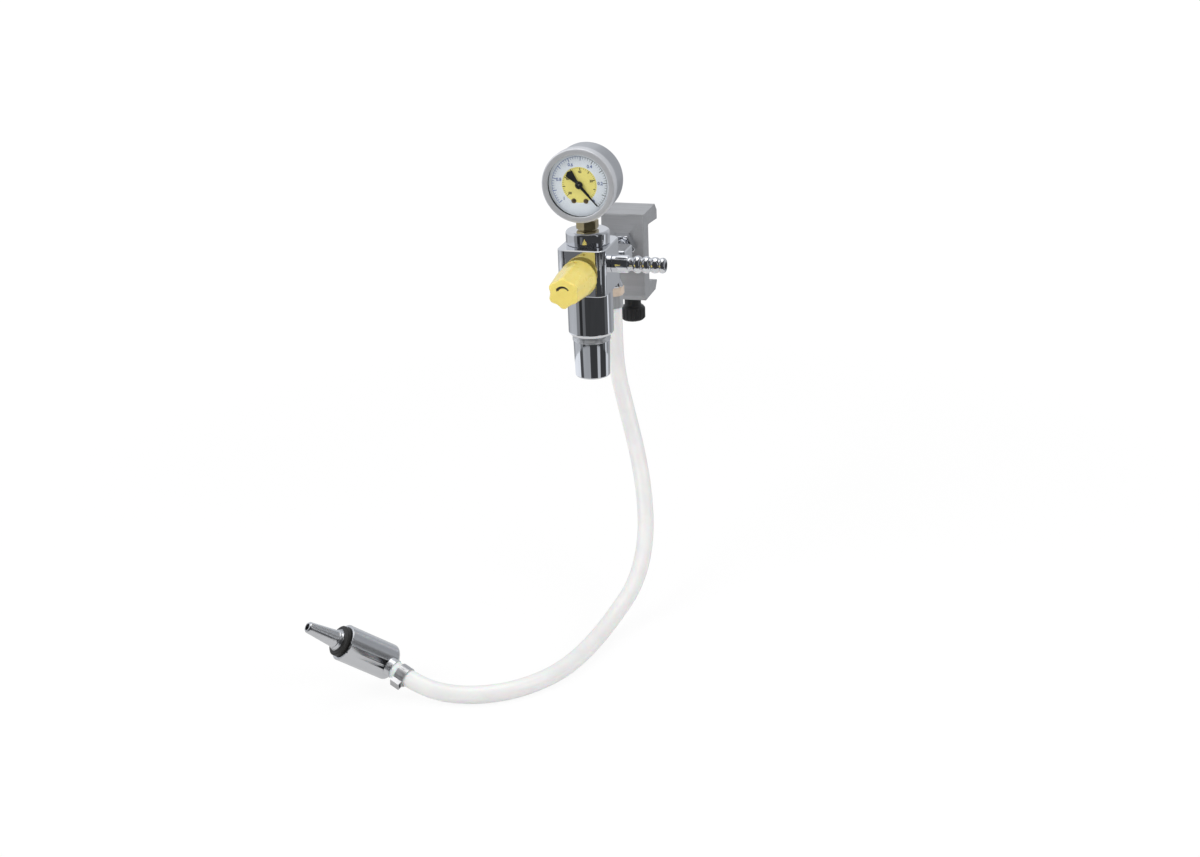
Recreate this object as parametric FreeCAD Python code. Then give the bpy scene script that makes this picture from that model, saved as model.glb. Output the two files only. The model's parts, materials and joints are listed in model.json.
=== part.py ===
import FreeCAD, Part
import math
import os
from FreeCAD import Vector

os.makedirs("parts", exist_ok=True)

# Vacuum regulator on a rail clamp, with its gauge, control knob, outlet tail, inlet hose and probe.
# Millimetres. +Z is up, the dial faces -Y. The origin is the middle of the clamp's rail seat, and
# the rail lies on the +Y side of it.

# Fits
RUN_FIT = 0.05            # radial clearance of everything that turns or slides
SEAT_FIT = 0.05           # radial clearance of spigots, inserts and threads drawn plain
END_PLAY = 0.05           # axial clearance between two faces that turn against each other

# Rail clamp
CLAMP_WIDTH = 33.0
CLAMP_PLATE = 14.0        # thickness of the plate between the front face and the rail seat
RAIL_GAP = 44.0           # opening between the hook and the lower jaw
HOOK_THICK = 11.0
HOOK_REACH = 27.0
HOOK_FLAT = 4.0           # level stretch of the hook's underside next to the seat
HOOK_LIP = 2.0            # how far the rest of the underside drops towards the tip
JAW_THICK = 12.0
JAW_REACH = 23.0
JAW_FALL = 5.5            # how far the jaw's upper face falls towards its tip
CLAMP_BEVEL = 6.0         # bevels at the back of the hook and of the jaw
CLAMP_FRONT_BEVEL = 4.0
CLAMP_EDGE = 0.8

# Thumb screw of the clamp
STUD_R = 4.0
SCREW_BACK = 10.5         # screw axis behind the rail seat
PAD_R = 7.0
PAD_THICK = 5.0
PAD_DROP = 6.5            # pad's face below the middle of the opening at rest
STUD_TIP_R = 2.5
STUD_TIP_DEEP = 3.0
THUMB_NECK_R = 6.4
THUMB_NECK_LONG = 11.4
THUMB_HEAD_R = 9.5
THUMB_HEAD_LONG = 11.0
THUMB_FLUTES = 18
THUMB_FLUTE_R = 1.0
THUMB_FLOOR = 4.0         # thumb knob's material under the stud

# Link from the regulator to the clamp
LINK_LENGTH = 68.5        # from the clamp's front face to the back of the body
LINK_RISE = 8.5           # link axis above the middle of the rail opening
LINK_R = 6.0
LINK_BORE_R = 3.0
LINK_THREAD_R = 4.5
LINK_THREAD_LONG = 7.0
TEE_WIDTH = 25.0
TEE_DEPTH = 22.0
TEE_HEIGHT = 15.0
TEE_BACK = 29.5           # centre of the tee in front of the clamp's front face
TEE_EDGE = 1.5
UNION_AF = 19.0
UNION_LONG = 12.0
UNION_FROM_BODY = 4.0
LOCKNUT_AF = 20.0
LOCKNUT_LONG = 9.0
NUT_BEVEL = 1.0
CLAMP_SCREW_R = 2.5
CLAMP_SCREW_HEAD_R = 4.8
CLAMP_SCREW_LONG = 16.0
CLAMP_SCREW_SUNK = 0.3
CLAMP_SOCKET_AF = 3.0
CLAMP_SOCKET_DEEP = 2.0

# Inlet hose connection under the tee
BARB_NECK_R = 5.5
BARB_NECK_LONG = 9.0
BARB_CONE_R = 7.6
BARB_CONE_LONG = 5.6
BARB_THREAD_R = 4.0
BARB_THREAD_LONG = 5.0
BARB_GRIP = 11.5          # length of each barb inside its hose end
BARB_WALL = 0.6           # how much narrower a barb's bore is than the link's
BARB_TOOTH = 0.6          # depth of the saw-tooth ribs
HOSE_NUT_AF = 14.4
HOSE_NUT_LONG = 6.6
FERRULE_WALL = 1.0
FERRULE_LONG = 9.4

# Body block
BODY_WIDTH = 35.0
BODY_DEPTH = 44.0
BODY_HEIGHT = 33.3
BODY_CORNER_R = 7.0
BODY_EDGE = 0.7
PORT_RISE = 6.0           # link axis above the bottom of the body
CHAMBER_R = 9.0
WEB_THICK = 3.0           # wall between the chamber and the cap's recess
GAUGE_PASSAGE_R = 3.0

# Cap over the body
CAP_R = 15.5
CAP_HEIGHT = 9.8
CAP_ROUND = 2.0
CAP_SPIGOT_R = 9.0
CAP_SPIGOT_LONG = 4.0

# Lower housing, ring and filter cup
HOUSING_R = 16.2
HOUSING_LONG = 33.5
HOUSING_WALL = 4.2
HOUSING_ROUND = 3.2
HOUSING_SPIGOT_R = 12.0
HOUSING_SPIGOT_LONG = 2.5
HOUSING_TOP_WALL = 4.0
RING_R = 13.6
RING_HEIGHT = 4.2
RING_SPIGOT_LONG = 5.5
RING_BORE_R = 5.0
CUP_TOP_R = 13.15
CUP_FOOT_R = 12.5
CUP_LONG = 26.8
CUP_WALL = 3.0
CUP_FLOOR = 2.5
CUP_ROUND = 1.2
CUP_SPIGOT_LONG = 4.0
FILTER_R = 7.0
FILTER_BORE_R = 4.0
O_RING_R = 0.9            # radius of the section of each O-ring

# Control valve and knob
KNOB_RISE = 15.0          # knob axis above the bottom of the body
KNOB_BASE_R = 13.1
KNOB_SKIRT = 3.0
KNOB_STEP = 0.2           # step from the skirt to the grip
KNOB_LONG = 38.0
KNOB_FRONT_R = 10.0
KNOB_LOBES = 6
KNOB_LOBE_DEEP = 0.085    # lobe height as a share of the front radius
KNOB_GAP = 3.9            # knob's base in front of the body at rest
KNOB_EDGE = 1.0
KNOB_RECESS_R = 9.0
KNOB_RECESS_DEEP = 2.5
SPINDLE_R = 3.95
SPINDLE_IN_KNOB = 30.0
KNOB_SCREW_R = 1.5
KNOB_SCREW_LONG = 6.0
KNOB_SCREW_FROM_SKIRT = 3.0
KNOB_SOCKET_AF = 1.5
KNOB_SOCKET_DEEP = 1.5
GLAND_R = 6.0
GLAND_LONG = 9.0
GLAND_HEAD_R = 7.5
GLAND_HEAD_LONG = 1.2
GLAND_RING = 2.0          # gland's O-ring behind the body's front face
NEEDLE_FROM_FRONT = 4.0   # needle's outer end behind the body's front face at rest
NEEDLE_CONE_LONG = 3.0
NEEDLE_TIP_R = 1.5
NEEDLE_OPEN = 3.2         # distance from the needle's closed place at rest
SEAT_HOLE_R = 2.2
SEAT_RECESS = 2.0
CAGE_BORE_R = 5.0

# Outlet tail
TAIL_RISE = 19.0          # tail axis above the bottom of the body
TAIL_SHANK_R = 6.3
TAIL_SHANK_LONG = 12.0
TAIL_NECK_R = 4.7
TAIL_BORE_R = 2.75
TAIL_PITCH = 6.3
TAIL_BEADS = (6.2, 6.0, 5.7)
TAIL_TIP_R = 5.5
TAIL_TIP_DROP = 0.6       # how much narrower the tip ends than the neck
TAIL_TIP_LONG = 4.2
TAIL_THREAD_R = 4.5
TAIL_THREAD_WALL = 1.5    # body left between the tail's thread and the chamber

# Gauge
GAUGE_RISE = 35.0         # dial centre above the top of the cap
GAUGE_R = 25.0
GAUGE_WALL = 2.0
GAUGE_BACK = 8.3          # back of the case behind the regulator's vertical axis
CASE_DEPTH = 23.3
CASE_ROUND = 2.0
BEZEL_WALL = 0.9
BEZEL_SKIRT = 2.5
BEZEL_LIP = 1.0
BEZEL_ROUND = 1.2
WINDOW_INSET = 3.3        # window's edge inside the case's outside
DIAL_INSET = 1.75         # edge of the dial, the lens and the gasket inside the case's outside
DIAL_THICK = 0.8
GASKET_WALL = 1.3
GASKET_LONG = 2.0
LENS_THICK = 1.2
POINTER_THICK = 0.4
POINTER_LIFT = 0.8        # pointer above the dial
POINTER_LONG = 19.0
POINTER_TAIL = 12.0
POINTER_HUB_R = 2.6
POINTER_HUB_LONG = 1.2
POINTER_ZERO = 139.0      # degrees clockwise from the top, where the vacuum scale has its zero
SHAFT_R = 0.8
DIAL_HOLE_R = 1.6
DIAL_SCREW_R = 1.0
DIAL_SCREW_HEAD_R = 1.7
DIAL_SCREW_HEAD_LONG = 0.55
DIAL_SCREW_SLOT = 0.5
DIAL_SLOT_DEEP = 0.25
DIAL_SCREW_X = 4.3
DIAL_SCREW_DROP = 11.2
DIAL_SCREW_LONG = 4.0
STEM_NECK_R = 5.0
STEM_HEX_AF = 14.0
STEM_HEX_LONG = 6.0
STEM_GAP = 0.6            # hexagon above the cap
STEM_THREAD_R = 4.9
BLOCK_WIDTH = 12.0
BLOCK_DEPTH = 9.2
BLOCK_TOP = 9.0           # top of the inner block below the dial centre
BLOCK_HEIGHT = 11.0
STEM_THREAD_DEEP = 3.0    # how far the thread reaches below the cap
STEM_BORE_R = 1.5
STEM_PLAY = 0.4           # radial play of the neck in the case
TUBE_RING_R = 17.5
TUBE_HALF_THICK = 1.2
TUBE_HALF_WIDE = 3.6
TUBE_ARC = 245.0
PLATE_WIDTH = 24.0
PLATE_TOP = 8.0
PLATE_FOOT = 14.5
PLATE_THICK = 1.2
PILLAR_LONG = 2.0         # pillars between the front plate and the dial
POST_R = 1.5

# Hose and probe
HOSE_R = 6.0
HOSE_BORE_R = 3.5
# Route of the hose, chosen by hand: straight down from its connection under the tee, forward on to
# the surface below, along it in a bend to the left, and up into the probe.
HOSE_ROUTE = [
    (0.0, -43.5, -20.2),
    (0.0, -43.5, -44.0),
    (2.0, -49.0, -76.0),
    (10.5, -56.5, -103.5),
    (21.0, -68.5, -131.0),
    (31.5, -87.0, -160.0),
    (38.5, -112.0, -187.0),
    (38.0, -142.0, -208.0),
    (28.0, -175.0, -221.5),
    (20.5, -213.0, -226.0),
    (10.5, -248.5, -226.0),
    (-7.5, -273.5, -226.0),
    (-29.5, -287.5, -226.0),
    (-53.0, -293.0, -225.0),
    (-74.0, -292.2, -221.0),
    (-92.0, -286.7, -214.5),
]
ARC_SHARE = 0.45          # share of the shorter run that each bend of the hose may use
PROBE_R = 12.4
PROBE_LONG = 40.0
PROBE_HEADING = 221.9     # degrees from +X, the way the nozzle points seen from above
PROBE_LIFT = 37.6         # degrees that the nozzle points up
PROBE_BRANCH = 12.0       # hose branch in front of the probe's rear end
PROBE_SHOULDER = 4.6      # how far the branch stands out of the sleeve
PROBE_REAR_ROUND = 2.5
PROBE_BORE_R = 8.6
PROBE_BORE_DEEP = 14.0
COLLAR_R = 10.35
COLLAR_OUT = 3.6
COLLAR_IN = 8.0
NOZZLE_FLANGE_R = 7.6
NOZZLE_STEP_R = 6.6
NOZZLE_BASE_R = 5.8
NOZZLE_TIP_R = 3.4
NOZZLE_HOLE_R = 2.3
NOZZLE_OUT = 28.5         # tip of the nozzle in front of the sleeve
BRANCH_R = 6.6
CLIP_WALL = 0.9
CLIP_WIDE = 7.0
CLIP_FROM_PROBE = 4.0
CLIP_EAR_WIDE = 6.0
CLIP_EAR_TALL = 3.4

# Places worked out from the sizes above
SEAT_TO_FRONT = -CLAMP_PLATE
BODY_BACK_Y = SEAT_TO_FRONT - LINK_LENGTH
AXIS_Y = BODY_BACK_Y - BODY_DEPTH / 2
BODY_FRONT_Y = AXIS_Y - BODY_DEPTH / 2
BODY_Z = LINK_RISE - PORT_RISE
BODY_TOP_Z = BODY_Z + BODY_HEIGHT
CAP_TOP_Z = BODY_TOP_Z + CAP_HEIGHT
HOUSING_Z = BODY_Z - HOUSING_LONG
RING_Z = HOUSING_Z - RING_HEIGHT
CUP_Z = RING_Z - CUP_LONG
KNOB_Z = BODY_Z + KNOB_RISE
TAIL_Z = BODY_Z + TAIL_RISE
TAIL_THREAD_LONG = BODY_WIDTH / 2 - CHAMBER_R - TAIL_THREAD_WALL
GAUGE_Z = CAP_TOP_Z + GAUGE_RISE
GAUGE_BACK_Y = AXIS_Y + GAUGE_BACK
TEE_Y = SEAT_TO_FRONT - TEE_BACK
TEE_Z = LINK_RISE
CAGE_Z = BODY_Z + HOUSING_SPIGOT_LONG
CHAMBER_TOP_Z = BODY_TOP_Z - CAP_SPIGOT_LONG - WEB_THICK
JAW_Z = -RAIL_GAP / 2 - JAW_THICK

UP = Vector(0, 0, 1)
DOWN = Vector(0, 0, -1)
FRONT = Vector(0, -1, 0)
BACK = Vector(0, 1, 0)
RIGHT = Vector(1, 0, 0)
LEFT = Vector(-1, 0, 0)


def save(name, shape):
    """Write one piece, and stop if it isn't a sound solid."""
    if not shape.isValid() or not shape.Solids:
        raise RuntimeError(f"{name} is not a sound solid")
    shape.exportStep(f"parts/{name}.step")
    print(name, len(shape.Solids), round(shape.Volume, 1))


def placed(shape, base, direction, turn=0.0):
    """Move a shape modelled along +Z to a base point and a direction, turned about its own axis."""
    aim = FreeCAD.Rotation(UP, direction)
    spin = FreeCAD.Rotation(UP, turn)
    shape.Placement = FreeCAD.Placement(base, aim.multiply(spin)).multiply(shape.Placement)
    return shape


def rod(radius, length, base, direction=UP):
    return Part.makeCylinder(radius, length, base, direction)


def tube(outer, inner, length, base, direction=UP):
    return rod(outer, length, base, direction).cut(rod(inner, length, base, direction))


def turned(steps, base=Vector(0, 0, 0), direction=UP):
    """Revolve a closed outline of (radius, height) points; a step of two points is an arc via the first."""
    edges = []
    here = Vector(steps[0][0], 0, steps[0][1])
    for step in steps[1:] + steps[:1]:
        if isinstance(step[0], tuple):
            middle = Vector(step[0][0], 0, step[0][1])
            there = Vector(step[1][0], 0, step[1][1])
            edges.append(Part.Arc(here, middle, there).toShape())
        else:
            there = Vector(step[0], 0, step[1])
            if (there - here).Length < 1e-7:
                continue
            edges.append(Part.makeLine(here, there))
        here = there
    solid = Part.Face(Part.Wire(edges)).revolve(Vector(0, 0, 0), UP, 360)
    return placed(solid, base, direction)


def round_corner(radius, height, r, outward=1, upward=1):
    """The arc step that rounds an outer corner at (radius, height): it starts below it and ends inside it."""
    k = r * (1 - math.sqrt(0.5))
    return ((radius - outward * k, height - upward * k), (radius - outward * r, height))


def hexagon(across_flats, length, base, direction, hole=0.0, turn=0.0, bevel=NUT_BEVEL):
    """A hexagon, as a nut with its corners bevelled at both ends or as a plain socket."""
    corner = across_flats / math.sqrt(3)
    points = []
    for i in range(7):
        angle = math.radians(60 * i)
        points.append(Vector(corner * math.cos(angle), corner * math.sin(angle), 0))
    block = Part.Face(Part.makePolygon(points)).extrude(Vector(0, 0, length))
    if bevel:
        flat = across_flats / 2 - 0.1
        wide = flat + 2 * bevel
        block = block.common(turned([
            (0, 0), (flat, 0), (wide, bevel), (wide, length - bevel), (flat, length), (0, length),
        ]))
    nut = placed(block, base, direction, turn)
    if hole:
        nut = nut.cut(rod(hole, length, base, direction))
    return nut


def o_ring(ring_radius, base, direction):
    return Part.makeTorus(ring_radius, O_RING_R, base, direction)


def groove(ring_radius, base, direction):
    return Part.makeTorus(ring_radius, O_RING_R + SEAT_FIT, base, direction)


# Rail clamp

def rail_clamp():
    """The C-shaped block, sawn from one bar, with its hook above and the screw's jaw below."""
    half = RAIL_GAP / 2
    outline = [
        (SEAT_TO_FRONT, JAW_Z + CLAMP_FRONT_BEVEL),
        (SEAT_TO_FRONT + CLAMP_FRONT_BEVEL / 2, JAW_Z),
        (JAW_REACH - CLAMP_BEVEL + 1, JAW_Z),
        (JAW_REACH, JAW_Z + CLAMP_BEVEL - 1),
        (JAW_REACH, -half - JAW_FALL),
        (0, -half),
        (0, half),
        (HOOK_FLAT, half),
        (HOOK_REACH, half - HOOK_LIP),
        (HOOK_REACH, half + HOOK_THICK - CLAMP_BEVEL),
        (HOOK_REACH - CLAMP_BEVEL, half + HOOK_THICK),
        (SEAT_TO_FRONT, half + HOOK_THICK),
    ]
    points = [Vector(-CLAMP_WIDTH / 2, y, z) for y, z in outline]
    block = Part.Face(Part.makePolygon(points + points[:1])).extrude(Vector(CLAMP_WIDTH, 0, 0))
    front = [e for e in block.Edges if abs(e.BoundBox.YMin - SEAT_TO_FRONT) < 0.01
             and abs(e.BoundBox.YMax - SEAT_TO_FRONT) < 0.01]
    block = block.makeChamfer(CLAMP_EDGE, front)
    stud_hole = rod(STUD_R + RUN_FIT, JAW_THICK + 2, Vector(0, SCREW_BACK, JAW_Z - 1))
    link_hole = rod(LINK_THREAD_R + SEAT_FIT, LINK_THREAD_LONG, Vector(0, SEAT_TO_FRONT, LINK_RISE), BACK)
    shank_hole = rod(CLAMP_SCREW_R + SEAT_FIT, CLAMP_PLATE, Vector(0, SEAT_TO_FRONT, LINK_RISE), BACK)
    cone = CLAMP_SCREW_HEAD_R - CLAMP_SCREW_R
    sink = Part.makeCone(CLAMP_SCREW_HEAD_R + SEAT_FIT, CLAMP_SCREW_R + SEAT_FIT, cone,
                         Vector(0, -CLAMP_SCREW_SUNK, LINK_RISE), FRONT)
    mouth = rod(CLAMP_SCREW_HEAD_R + SEAT_FIT, CLAMP_SCREW_SUNK, Vector(0, 0, LINK_RISE), FRONT)
    for tool in (stud_hole, link_hole, shank_hole, sink, mouth):
        block = block.cut(tool)
    return block


def clamp_screw():
    """Countersunk screw from the rail seat into the end of the link."""
    cone = CLAMP_SCREW_HEAD_R - CLAMP_SCREW_R
    top = Vector(0, -CLAMP_SCREW_SUNK, LINK_RISE)
    screw = Part.makeCone(CLAMP_SCREW_HEAD_R, CLAMP_SCREW_R, cone, top, FRONT)
    screw = screw.fuse(rod(CLAMP_SCREW_R, CLAMP_SCREW_LONG - cone, top + FRONT * cone, FRONT))
    return screw.cut(hexagon(CLAMP_SOCKET_AF, CLAMP_SOCKET_DEEP, top, FRONT, bevel=0))


def clamp_pad():
    base = Vector(0, SCREW_BACK, -PAD_DROP - PAD_THICK)
    pad = turned([(0, 0), (PAD_R - 1, 0), (PAD_R, 1), (PAD_R, PAD_THICK - 0.5), (PAD_R - 0.5, PAD_THICK),
                  (0, PAD_THICK)], base)
    return pad.cut(rod(STUD_TIP_R + RUN_FIT, STUD_TIP_DEEP, base))


def thumb_stud():
    pad_foot = -PAD_DROP - PAD_THICK
    foot = JAW_Z - THUMB_NECK_LONG - THUMB_HEAD_LONG + THUMB_FLOOR
    stud = rod(STUD_R, pad_foot - END_PLAY - foot, Vector(0, SCREW_BACK, foot))
    tip = rod(STUD_TIP_R, STUD_TIP_DEEP, Vector(0, SCREW_BACK, pad_foot - END_PLAY))
    return stud.fuse(tip).removeSplitter()


def thumb_knob():
    """Moulded knob with a round neck and a fluted head, pressed on the stud."""
    top = JAW_Z - END_PLAY
    foot = top - THUMB_NECK_LONG - THUMB_HEAD_LONG
    neck_z = THUMB_HEAD_LONG
    knob = turned([
        (0, 0), (THUMB_HEAD_R - 1.5, 0), (THUMB_HEAD_R, 1.5), (THUMB_HEAD_R, THUMB_HEAD_LONG - 2),
        (THUMB_HEAD_R - 1.2, THUMB_HEAD_LONG - 0.4), (THUMB_NECK_R + 0.8, neck_z),
        (THUMB_NECK_R, neck_z + 0.8),
        (THUMB_NECK_R, neck_z + THUMB_NECK_LONG), (0, neck_z + THUMB_NECK_LONG),
    ], Vector(0, SCREW_BACK, foot))
    for i in range(THUMB_FLUTES):
        angle = 2 * math.pi * i / THUMB_FLUTES
        reach = THUMB_HEAD_R + THUMB_FLUTE_R * 0.45
        at = Vector(reach * math.cos(angle), SCREW_BACK + reach * math.sin(angle), foot - 1)
        knob = knob.cut(rod(THUMB_FLUTE_R, THUMB_HEAD_LONG + 1.5, at))
    stud_foot = JAW_Z - THUMB_NECK_LONG - THUMB_HEAD_LONG + THUMB_FLOOR
    return knob.cut(rod(STUD_R, top - stud_foot + 1, Vector(0, SCREW_BACK, stud_foot)))


# Link between clamp and body

def clamp_nipple():
    length = TEE_BACK - TEE_DEPTH / 2
    start = Vector(0, SEAT_TO_FRONT, LINK_RISE)
    pipe = rod(LINK_R, length, start, FRONT)
    pipe = pipe.fuse(rod(LINK_THREAD_R, LINK_THREAD_LONG, start, BACK))
    pipe = pipe.fuse(rod(LINK_THREAD_R, LINK_THREAD_LONG, start + FRONT * length, FRONT))
    screw_end = CLAMP_SCREW_LONG + CLAMP_SCREW_SUNK - CLAMP_PLATE
    hole = rod(CLAMP_SCREW_R + SEAT_FIT, LINK_THREAD_LONG + screw_end + 1,
               start + BACK * LINK_THREAD_LONG, FRONT)
    return pipe.cut(hole).removeSplitter()


def locknut():
    return hexagon(LOCKNUT_AF, LOCKNUT_LONG, Vector(0, SEAT_TO_FRONT - LOCKNUT_LONG, LINK_RISE), BACK,
                   LINK_R + SEAT_FIT, 0)


def tee_block():
    corner = Vector(-TEE_WIDTH / 2, TEE_Y - TEE_DEPTH / 2, TEE_Z - TEE_HEIGHT / 2)
    block = Part.makeBox(TEE_WIDTH, TEE_DEPTH, TEE_HEIGHT, corner)
    block = block.makeFillet(TEE_EDGE, block.Edges)
    thread = LINK_THREAD_R + SEAT_FIT
    front = Vector(0, TEE_Y - TEE_DEPTH / 2, TEE_Z)
    block = block.cut(rod(thread, LINK_THREAD_LONG, front, BACK))
    block = block.cut(rod(LINK_BORE_R, TEE_DEPTH / 2, front, BACK))
    block = block.cut(rod(thread, LINK_THREAD_LONG, Vector(0, TEE_Y + TEE_DEPTH / 2, TEE_Z), FRONT))
    foot = Vector(0, TEE_Y, TEE_Z - TEE_HEIGHT / 2)
    block = block.cut(rod(BARB_THREAD_R + SEAT_FIT, BARB_THREAD_LONG, foot))
    return block.cut(rod(LINK_BORE_R, TEE_HEIGHT / 2, foot))


def inlet_nipple():
    length = LINK_LENGTH - TEE_BACK - TEE_DEPTH / 2
    start = Vector(0, BODY_BACK_Y, LINK_RISE)
    pipe = rod(LINK_R, length, start, BACK)
    pipe = pipe.fuse(rod(LINK_THREAD_R, LINK_THREAD_LONG, start, FRONT))
    pipe = pipe.fuse(rod(LINK_THREAD_R, LINK_THREAD_LONG, start + BACK * length, BACK))
    bore = rod(LINK_BORE_R, length + 2 * LINK_THREAD_LONG, start + FRONT * LINK_THREAD_LONG, BACK)
    return pipe.cut(bore).removeSplitter()


def union_nut():
    return hexagon(UNION_AF, UNION_LONG, Vector(0, BODY_BACK_Y + UNION_FROM_BODY, LINK_RISE), BACK,
                   LINK_R + SEAT_FIT, 30)


def inlet_barb():
    """Turned connector: threaded into the tee, coned out to the nut, with a ribbed tail for the hose."""
    base = Vector(0, TEE_Y, TEE_Z - TEE_HEIGHT / 2)
    cone_h = BARB_NECK_LONG + BARB_CONE_LONG
    nut_h = cone_h + HOSE_NUT_LONG
    rib = HOSE_BORE_R - SEAT_FIT
    bore = LINK_BORE_R - BARB_WALL
    steps = [(bore, -BARB_THREAD_LONG), (BARB_THREAD_R, -BARB_THREAD_LONG), (BARB_THREAD_R, 0),
             (BARB_NECK_R, 0), (BARB_NECK_R, BARB_NECK_LONG), (BARB_CONE_R, cone_h), (rib, cone_h),
             (rib, nut_h)]
    steps += ribs(rib, nut_h, BARB_GRIP)
    return turned(steps + [(bore, nut_h + BARB_GRIP)], base, DOWN)


def ribs(radius, start, length, count=4):
    """Saw-tooth ribs of a hose barb, as outline steps."""
    pitch = length / count
    steps = []
    for i in range(count):
        foot = start + i * pitch
        steps += [(radius - BARB_TOOTH, foot + 0.8), (radius - BARB_TOOTH, foot + 1.6),
                  (radius, foot + 0.6 * pitch), (radius, foot + 0.75 * pitch)]
    return steps + [(radius - BARB_TOOTH, start + length)]


def hose_nut():
    top = TEE_Z - TEE_HEIGHT / 2 - BARB_NECK_LONG - BARB_CONE_LONG
    return hexagon(HOSE_NUT_AF, HOSE_NUT_LONG, Vector(0, TEE_Y, top), DOWN, HOSE_BORE_R, 30, 0.6)


def hose_ferrule():
    top = TEE_Z - TEE_HEIGHT / 2 - BARB_NECK_LONG - BARB_CONE_LONG - HOSE_NUT_LONG
    inner = HOSE_R + SEAT_FIT
    return tube(inner + FERRULE_WALL, inner, FERRULE_LONG, Vector(0, TEE_Y, top), DOWN)


# Body, cap, housing and cup

def body_block():
    block = Part.makeBox(BODY_WIDTH, BODY_DEPTH, BODY_HEIGHT, Vector(-BODY_WIDTH / 2, BODY_FRONT_Y, BODY_Z))
    upright = [e for e in block.Edges if abs(e.BoundBox.ZLength - BODY_HEIGHT) < 0.01]
    block = block.makeFillet(BODY_CORNER_R, upright)
    rims = [e for e in block.Edges if e.BoundBox.ZLength < 0.01]
    block = block.makeChamfer(BODY_EDGE, rims)
    axis = Vector(0, AXIS_Y, 0)
    tools = [
        rod(HOUSING_SPIGOT_R + SEAT_FIT, HOUSING_SPIGOT_LONG, axis + UP * BODY_Z),
        rod(CHAMBER_R, CHAMBER_TOP_Z - BODY_Z, axis + UP * BODY_Z),
        rod(GAUGE_PASSAGE_R, BODY_HEIGHT, axis + UP * BODY_Z),
        rod(CAP_SPIGOT_R + SEAT_FIT, CAP_SPIGOT_LONG, axis + UP * (BODY_TOP_Z - CAP_SPIGOT_LONG)),
        rod(GLAND_R + SEAT_FIT, GLAND_LONG, Vector(0, BODY_FRONT_Y, KNOB_Z), BACK),
        rod(SPINDLE_R + RUN_FIT, BODY_DEPTH / 2, Vector(0, BODY_FRONT_Y, KNOB_Z), BACK),
        rod(LINK_THREAD_R + SEAT_FIT, LINK_THREAD_LONG, Vector(0, BODY_BACK_Y, LINK_RISE), FRONT),
        rod(LINK_BORE_R, BODY_DEPTH / 2, Vector(0, BODY_BACK_Y, LINK_RISE), FRONT),
        rod(TAIL_THREAD_R + SEAT_FIT, TAIL_THREAD_LONG, Vector(BODY_WIDTH / 2, AXIS_Y, TAIL_Z), LEFT),
        rod(TAIL_BORE_R, BODY_WIDTH / 2, Vector(BODY_WIDTH / 2, AXIS_Y, TAIL_Z), LEFT),
    ]
    for tool in tools:
        block = block.cut(tool)
    return block


def valve_cage():
    """Insert in the body's chamber, with the seat that the needle closes."""
    long = CHAMBER_TOP_Z - CAGE_Z
    base = Vector(0, AXIS_Y, CAGE_Z)
    cage = tube(CHAMBER_R - SEAT_FIT, CAGE_BORE_R, long, base)
    front = Vector(0, AXIS_Y - CHAMBER_R, KNOB_Z)
    cage = cage.cut(rod(SPINDLE_R + RUN_FIT, SEAT_RECESS, front, BACK))
    cage = cage.cut(rod(SEAT_HOLE_R, CHAMBER_R, front, BACK))
    cage = cage.cut(rod(TAIL_BORE_R, CHAMBER_R, Vector(0, AXIS_Y, TAIL_Z), RIGHT))
    return cage.cut(rod(LINK_BORE_R, CHAMBER_R, Vector(0, AXIS_Y, LINK_RISE), BACK))


def top_cap():
    spigot = CAP_SPIGOT_R
    thread = STEM_THREAD_R + SEAT_FIT
    cap = turned([
        (thread, -CAP_SPIGOT_LONG), (spigot, -CAP_SPIGOT_LONG), (spigot, 0), (CAP_R - 0.6, 0), (CAP_R, 0.6),
        (CAP_R, CAP_HEIGHT - CAP_ROUND), round_corner(CAP_R, CAP_HEIGHT, CAP_ROUND), (thread, CAP_HEIGHT),
    ], Vector(0, AXIS_Y, BODY_TOP_Z))
    return cap.cut(groove(spigot, Vector(0, AXIS_Y, BODY_TOP_Z - CAP_SPIGOT_LONG / 2), UP))


def cap_o_ring():
    ring = o_ring(CAP_SPIGOT_R, Vector(0, AXIS_Y, BODY_TOP_Z - CAP_SPIGOT_LONG / 2), UP)
    wall = rod(CAP_SPIGOT_R + SEAT_FIT, CAP_SPIGOT_LONG, Vector(0, AXIS_Y, BODY_TOP_Z - CAP_SPIGOT_LONG))
    return ring.common(wall)


def lower_housing():
    bore = HOUSING_R - HOUSING_WALL
    top = HOUSING_LONG
    return turned([
        (bore, 0), (HOUSING_R - HOUSING_ROUND, 0),
        ((HOUSING_R - HOUSING_ROUND * (1 - math.sqrt(0.5)), HOUSING_ROUND * (1 - math.sqrt(0.5))),
         (HOUSING_R, HOUSING_ROUND)),
        (HOUSING_R, top - 0.5), (HOUSING_R - 0.5, top), (HOUSING_SPIGOT_R, top),
        (HOUSING_SPIGOT_R, top + HOUSING_SPIGOT_LONG), (GAUGE_PASSAGE_R, top + HOUSING_SPIGOT_LONG),
        (GAUGE_PASSAGE_R, top - HOUSING_TOP_WALL), (bore, top - HOUSING_TOP_WALL),
    ], Vector(0, AXIS_Y, HOUSING_Z))


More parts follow.
